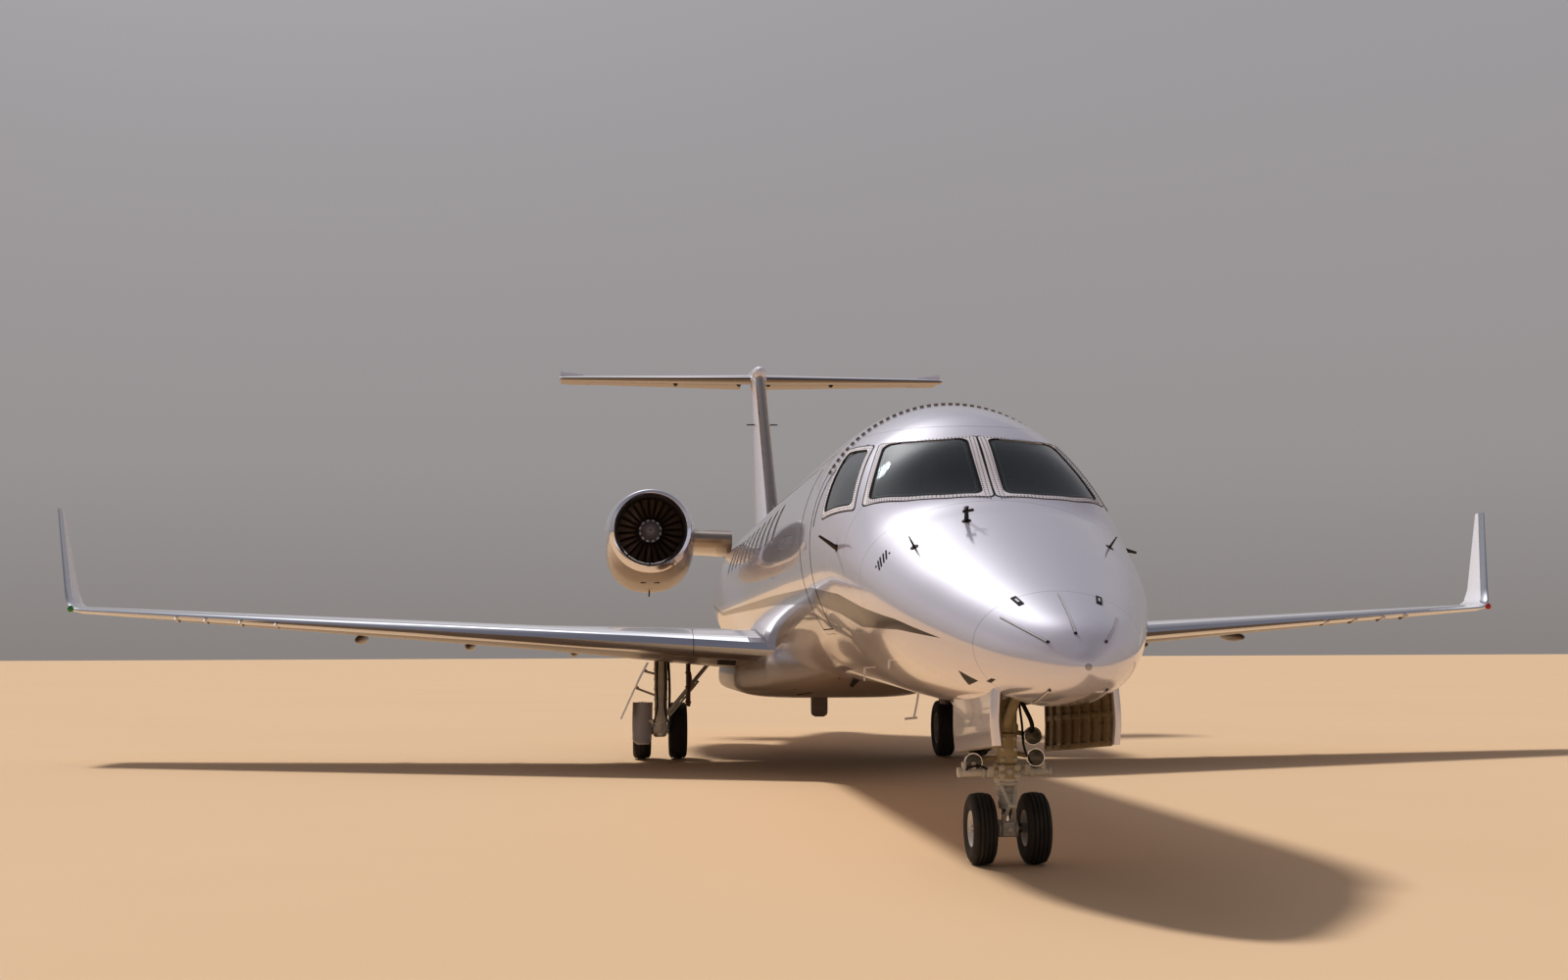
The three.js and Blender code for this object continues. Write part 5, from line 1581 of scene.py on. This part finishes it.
strut_parts = [
    stacked([(0.056, 0.030), (0.062, 0.050), (0.054, 0.085), (0.064, 0.105), (0.058, 0.120), (0.076, 0.145),
             (0.066, 0.170), (0.082, 0.2052)], by_leg(0, 0, 0.370), (0, 0, 1)),
    rod(by_leg(-0.064, 0, NOSE_AXLE), by_leg(0.064, 0, NOSE_AXLE), 0.058),
    block_of((0.092, 0.120, 0.100), Matrix.Translation(by_leg(0, 0.015, NOSE_AXLE)), 0.015),
    stacked([(0.030, 0.014), (0.018, 0.034)], by_leg(0, 0.074, NOSE_AXLE), (0, -1, 0), 20),
]
for x in (-1, 1):
    strut_parts += [rod(by_leg(x * 0.050, 0.070, 0.535), by_leg(x * 0.014, 0.165, 0.400), 0.013),
                    rod(by_leg(x * 0.014, 0.165, 0.400), by_leg(x * 0.042, 0.050, 0.285), 0.013)]
strut_parts += [rod(by_leg(-0.065, 0.070, 0.538), by_leg(0.065, 0.070, 0.538), 0.016),
                rod(by_leg(-0.030, 0.165, 0.400), by_leg(0.030, 0.165, 0.400), 0.016)]
add(strut_parts, "nose_strut_castings", pale_casting, "nose_steer", replaces="nose_strut")
add([rod(by_leg(0, 0, NOSE_AXLE + 0.03), by_leg(0, 0, 0.40), 0.040)], "nose_piston", chrome, "nose_steer")
wheel_set("nose_wheels", by_leg(0, 0, NOSE_AXLE), 0.182, NOSE_AXLE, 0.162, 0.112, 10, white_rim)


# Nose gear doors
# Bonded panels hung from the bay's long edges: glossy white outside and round their thick front edges, olive
# inside with upright stiffeners, rails and a hinge arm.
NOSE_DOOR = (  # share of the way down; height at the front and the rear, x at the front and the rear
    (0.0, 1.230, 1.180, 0.338, 0.300),
    (0.5, 1.010, 0.915, 0.352, 0.306),
    (1.0, 0.862, 0.745, 0.340, 0.296),
)
door_white = paint_finish("gear_door_paint")
olive_panel = worn_paint("olive_panel", linear(142, 122, 88), 0.5, grain=9, worn=0.35, under=(40, 30, 20),
                         squeeze=(1, 1, 0.3))


def door_point(side, down, back, inwards):
    """A place on a nose door: its share of the way down and back, and the distance inside its inner face."""
    front, rear, x, rear_x = smooth_row(NOSE_DOOR, down)
    return at(side * (x + (rear_x - x) * back - inwards),
              NOSE_BAY["from"] + (NOSE_BAY["to"] - NOSE_BAY["from"]) * back, front + (rear - front) * back)


def bar_between(start, end, width, depth, facing, bevel=0.003):
    """A flat bar from start to end, with its depth along the way it faces."""
    along = Vector(end) - Vector(start)
    across = along.cross(Vector(facing)).normalized()
    turn = Matrix((across, along.normalized(), across.cross(along.normalized()))).transposed().to_4x4()
    middle = Matrix.Translation((Vector(start) + Vector(end)) / 2)
    return block_of((width, along.length, depth), middle @ turn, bevel)


def ring_through(mesh, points):
    """A closed ring of edges through some points."""
    ring = [mesh.verts.new(point) for point in points]
    for first, second in zip(ring, ring[1:] + ring[:1]):
        mesh.edges.new((first, second))
    return ring


def sheet_through(rows, thickness):
    """A metal sheet through rows of points."""
    mesh = bmesh.new()
    rows = [[mesh.verts.new(point) for point in row] for row in rows]
    for upper, lower in zip(rows, rows[1:]):
        for k in range(len(upper) - 1):
            mesh.faces.new((upper[k], upper[k + 1], lower[k + 1], lower[k]))
    bmesh.ops.recalc_face_normals(mesh, faces=mesh.faces[:])
    bmesh.ops.solidify(mesh, geom=mesh.faces[:], thickness=thickness)
    return mesh


# The panel's outline from below, as shares of the way back and distances inside its inner face
PANEL_EDGE = ((0.0, 0.0), (0.0, -0.026), (0.008, -0.040), (0.06, -0.040), (1.0, -0.034), (1.0, 0.0))
# Shares of the way back, or down for the rails
STIFFENERS = (0.05, 0.16, 0.30, 0.44, 0.58, 0.72, 0.86, 0.97)
RAILS = (0.04, 0.40, 0.96)
HINGES = (0.09, 0.50, 0.90)
for side, hand in ((1, "left"), (-1, "right")):
    mesh = bmesh.new()
    closed_loft(mesh, [ring_through(mesh, [door_point(side, i / 12, *edge) for edge in PANEL_EDGE])
                       for i in range(13)])
    mount(smooth(link(mesh, f"nose_gear_door_{hand}_panel", door_white), 50), "airframe",
          f"nose_gear_door_{hand}")
    bars = []  # the two ends as shares down and back and distance inside, then width and depth
    for back in STIFFENERS:
        bars += [((down, back, 0.010), (down + 0.25, back, 0.010), 0.030, 0.024)
                 for down in (0.02, 0.27, 0.50, 0.73)]
    bars += [((down, 0.03, 0.007), (down, 0.99, 0.007), 0.036, 0.018) for down in RAILS]
    bars += [((0.02, back, 0.02), (-0.02, back, 0.05), 0.05, 0.02) for back in HINGES]
    ribs = [bar_between(door_point(side, *start), door_point(side, *end), width, depth, (1, 0, 0))
            for start, end, width, depth in bars]
    lining = sheet_through([[door_point(side, i / 8, back, 0.002) for back in (0.03, 0.25, 0.5, 0.75, 0.99)]
                            for i in range(1, 8)], 0.003)
    add([*ribs, lining], f"nose_gear_door_{hand}_frame", olive_panel, "airframe")


# Main gear
# A painted post with pipes and bands, a trailing arm to the axle, a shock strut behind it, a pale side stay,
# a dark shield ahead of the outer tyre and the bay's inner door.
MAIN_LEG = {"x": 2.05, "station": 14.1075, "axle": 14.6275, "z": 0.381, "spacing": 0.240}
SHIELD = (  # share of the way up, height, inner and outer edge
    (0.0, 0.226, 2.200, 2.352),
    (0.07, 0.262, 2.176, 2.405),
    (0.5, 0.500, 2.164, 2.412),
    (1.0, 0.766, 2.160, 2.405),
)
LEG_DOOR = (  # share of the way up, height and x
    (0.0, 0.560, 2.560),
    (0.33, 0.800, 2.452),
    (0.67, 1.050, 2.335),
    (1.0, 1.290, 2.212),
)
INNER_DOOR = 1.698
BANDS = 8
brown_casting = worn_paint("brown_casting", linear(242, 234, 220), 0.42, grain=18, worn=0.2,
                           under=(40, 34, 28), squeeze=(1, 1, 0.4))
shield_paint = worn_paint("shield_paint", linear(180, 176, 180), 0.35, metallic=0.4, grain=30, worn=0.1,
                          squeeze=(1, 1, 0.1))
red_brown = worn_paint("inner_door_paint", linear(88, 48, 40), 0.5, grain=12, worn=0.2)
grey_rim = worn_paint("grey_rim", linear(186, 186, 186), 0.4, grain=18, worn=0.25)
for side, hand in ((1, "left"), (-1, "right")):
    def by_main(x, station, z, side=side):
        return at(side * x, station, z)
    leg_x, leg, axle = MAIN_LEG["x"], MAIN_LEG["station"], MAIN_LEG["axle"]
    name = f"main_leg_{hand}"
    gear = f"main_gear_{hand}"
    levels = []
    for i in range(BANDS):
        levels += [(0.080 + 0.0015 * i, 0.13 * i + 0.105), (0.088 + 0.0015 * i, 0.13 * i + 0.13)]
    parts = [
        stacked(levels, by_main(leg_x, leg, 0.43), (0, 0, 1)),
        rod(by_main(leg_x, leg, 0.43), by_main(leg_x, axle, MAIN_LEG["z"]), 0.070, 0.082),
        stacked([(0.080, 0.02), (0.092, 0.156), (0.080, 0.176)], by_main(leg_x - 0.088, axle, MAIN_LEG["z"]),
                (side, 0, 0)),
        stacked([(0.050, 0.02), (0.062, 0.05), (0.056, 0.14), (0.062, 0.17), (0.050, 0.19)],
                by_main(leg_x - 0.095, leg, 0.43), (side, 0, 0)),
        stacked([(0.064, 0.02), (0.048, 0.035), (0.022, 0.055)], by_main(leg_x, leg - 0.075, 0.545),
                (0, -1, 0)),
        stacked([(0.070, 0.02), (0.040, 0.035), (0.020, 0.050)], by_main(leg_x, leg - 0.060, 0.43),
                (0, -1, 0)),
        rod(by_main(leg_x, leg, 0.520), by_main(2.20, leg + 0.085, 0.520), 0.024),
        rod(by_main(leg_x, leg + 0.070, 1.18), by_main(leg_x, leg + 0.21, 0.82), 0.056, 0.052),
        slab((-0.03 + side * leg_x, 0.03 + side * leg_x), (leg + 0.02, leg + 0.12), (0.95, 1.22), 0.01),
    ]
    for dx in (-0.080, 0.080):
        arm_front, arm_rear = by_main(leg_x + dx, leg - 0.02, 0.42), by_main(leg_x + dx, axle - 0.06, 0.375)
        parts.append(bar_between(arm_front, arm_rear, 0.026, 0.090, (0, 0, 1), 0.008))
    add(parts, name + "_castings", brown_casting, "airframe", replaces=name)
    add([rod(by_main(leg_x, axle - 0.15, 0.43), by_main(leg_x, leg + 0.20, 0.84), 0.036)], name + "_piston",
        chrome, "airframe")
    stay_low, stay_high = by_main(leg_x - 0.02, leg - 0.03, 0.545), by_main(1.40, leg - 0.03, 1.30)
    along = stay_high - stay_low
    lift = Vector((-along.z * side, 0, along.x * side)).normalized() * -0.045 * side
    stay = [rod(stay_low + along * 0.04, stay_high, 0.026),
            rod(stay_low + along * 0.10 + lift, stay_low + along * 0.70 + lift, 0.014)]
    for share in (0.12, 0.40, 0.68):
        foot = stay_low + along * share
        stay.append(rod(foot, foot + lift, 0.017))
    stay.append(rod(stay_low + Vector((0, -0.04, 0)), stay_low + Vector((0, 0.04, 0)), 0.034))
    add(stay, name + "_stay", pale_casting, "airframe")
    pipes = []
    for dx in (-0.052, 0.052):
        pipe = ((1, leg - 0.085, 1.36), (1.1, leg - 0.095, 1.0), (1, leg - 0.09, 0.70),
                (1.8, leg - 0.05, 0.50), (1.9, leg + 0.20, 0.46), (1.3, axle - 0.05, 0.45))
        pipes.append(tube([by_main(leg_x + dx * out, station, z) for out, station, z in pipe], 0.010))
    inner_line = ((0.10, 1.30), (0.115, 0.95), (0.110, 0.60))
    pipes.append(tube([by_main(leg_x - inwards, leg + 0.02, z) for inwards, z in inner_line], 0.016))
    add(pipes, name + "_hoses", hose_rubber, "airframe")
    rows = []
    for i in range(13):
        z, inner, outer = smooth_row(SHIELD, i / 12)
        rows.append([by_main(inner + (outer - inner) * k / 8, leg + 0.096 - 0.026 * sin(pi * k / 8), z)
                     for k in range(9)])
    add([sheet_through(rows, 0.010)], gear + "_shield", shield_paint, "airframe")
    edge_line = rows[0] + [row[-1] for row in rows[1:]]
    add([tube(edge_line, 0.013, 8, 2)], gear + "_shield_edge", pale_casting, "airframe")
    middle = side * INNER_DOOR
    inner_door = [slab((middle - 0.022, middle + 0.022), (leg - 0.43, leg + 0.06), (0.722, 1.36), 0.012)]
    inner_door += [slab((middle - 0.030, middle + 0.030), (leg - 0.435, leg + 0.065), (z, z + 0.03), 0.006)
                   for z in (0.76, 0.95, 1.14)]
    add(inner_door, gear + "_inner_door", red_brown, "airframe")
    lamp_arm = [lathe([(0, 0.004), (0.046, 0), (0.052, 0.006), (0.050, 0.045), (0.030, 0.075), (0, 0.08)],
                      by_main(1.655, leg - 0.16, 1.010), (0, 1, 0), 24),
                tube([by_main(1.655, leg - 0.11, 1.05), by_main(1.66, leg - 0.10, 1.12),
                      by_main(1.685, leg - 0.10, 1.17)], 0.012)]
    add(lamp_arm, gear + "_lamp", pale_casting, "airframe")
    mesh = bmesh.new()
    rings = []
    for i in range(9):
        z, out = smooth_row(LEG_DOOR, i / 8)
        rings.append(ring_through(mesh, [by_main(x, leg + back, z) for x, back in (
            (out, -0.26), (out + 0.024, -0.26), (out + 0.024, 0.26), (out, 0.26))]))
    closed_loft(mesh, rings)
    leg_door = f"main_gear_door_{hand}"
    add([mesh], leg_door + "_panel", door_white, "airframe", 40, leg_door)
    links = []
    for low, high in ((0.83, 0.96), (1.12, 1.18)):
        out = smooth_row(LEG_DOOR, (high - 0.56) / 0.73)[1]
        links += [rod(by_main(leg_x, leg, low), by_main(out + 0.014, leg, high), 0.015),
                  rod(by_main(out - 0.02, leg - 0.03, high), by_main(out - 0.02, leg + 0.03, high), 0.022)]
    add(links, leg_door + "_links", brown_casting, "airframe")
    wheel_set(f"main_wheels_{hand}", by_main(leg_x, axle, MAIN_LEG["z"]), MAIN_LEG["spacing"], MAIN_LEG["z"],
              0.241, 0.195, 12, grey_rim)


# Airstair
# Five light alloy treads between two rails inside the main door, level when the door hangs open, with the
# short posts of a folding handrail beside them.
DOOR_SWING = radians(130)
TREAD_WAY = Vector((cos(DOOR_SWING), 0, sin(DOOR_SWING)))
TREAD_DEEP = 0.20
TREAD_HALF = 0.014
RAIL_STATIONS = (4.14, 4.68)
TREAD_LONG = 0.54
treads, rails = [], []
for front in RAIL_STATIONS:
    line = []
    for i in range(9):
        place, normal = on_skin(at(0.9, front, 1.60 + 0.17 * i))
        line.append(place - normal * (WALL + 0.024))
    rails.append(tube(line, 0.022))
    rails += [rod(line[i], line[i] - Vector((0.12, 0, 0.0)), 0.012) for i in (1, 5)]
half_thick = TREAD_WAY.cross(Vector((0, 1, 0))) * TREAD_HALF
for i in range(5):
    place, normal = on_skin(at(0.9, RAIL_STATIONS[0], 1.68 + 0.28 * i))
    base = place - normal * (WALL + 0.016)
    edge = base + TREAD_WAY * TREAD_DEEP
    outline = [base - half_thick, edge - half_thick, edge + half_thick, base + half_thick]
    treads.append(prism(outline, (0, 1, 0), 0.0, TREAD_LONG))
add(treads, "airstair_treads", strip_metal, "main_door")
add(rails, "airstair_rails", dark_metal_and_shadow, "main_door")


# Antennas, lamps and wicks
# A drum under the belly, blades on the crown, small blades and a bent drain mast low on the side, position
# lamps at the winglets' roots and a red beacon on the crown, all screwed on. The wicks are conductive rods.
DRUM_STATION = 13.65
CROWN = 3.42
WINGTIP_LAMP = (10.03, 15.46, 2.035)
LENS_SHAPE = [(0, -0.04), (0.032, -0.03), (0.045, 0), (0.036, 0.03), (0.018, 0.052), (0, 0.058)]
antenna_grey = worn_paint("antenna_grey", linear(150, 136, 124), 0.5, grain=20)
add([stacked([(0.110, 0.30)], at(0, DRUM_STATION, 0.66), (0, 0, 1)),
     lathe([(0, 0), (0.06, 0.002), (0.095, 0.022), (0.108, 0.05), (0.108, 0.09), (0, 0.09)],
           at(0, DRUM_STATION, 0.580), (0, 0, 1))],
    "belly_antenna_drum", antenna_grey, "airframe", replaces="belly_antenna")
masts = [tube([at(0.03, 5.89, 1.115), at(0.01, 5.90, 0.98), at(-0.02, 5.90, 0.840)], 0.010),
         rod(at(0.01, 5.90, 0.842), at(-0.10, 5.90, 0.832), 0.010)]
for place, foot in ((at(-0.657, 4.36, 1.29), 0.10), (at(-0.741, 2.486, 1.362), 0.06)):
    masts.append(prism([place, place + Vector((0, 0.05, 0)), place + Vector((0, 0.06, -foot)),
                        place + Vector((0, 0.03, -foot))], (1, 0, 0), -0.005, 0.005))
for station in (6.6, 9.4):
    blade = [at(0, station + back, CROWN + up) for back, up in (
        (-0.14, -0.02), (0.16, -0.02), (0.20, 0.20), (0.06, 0.20))]
    masts.append(prism(blade, (1, 0, 0), -0.009, 0.009))
add(masts, "masts_and_blades", strip_metal, "airframe")
add(wicks, "static_wicks", black_paint_and_shade, "airframe")
for name, color, places in (
        ("red_lens", linear(190, 24, 20), [at(*WINGTIP_LAMP), at(0, 11.6, CROWN)]),
        ("green_lens", linear(20, 140, 60), [at(-WINGTIP_LAMP[0], *WINGTIP_LAMP[1:])])):
    lens = worn_paint(name, color, 0.15, grain=30, Coat_Weight=1.0)
    parts = [lathe(LENS_SHAPE, place, (0, 0, 1), 20) for place in places]
    add(parts, name + "es", lens, "airframe", 60)
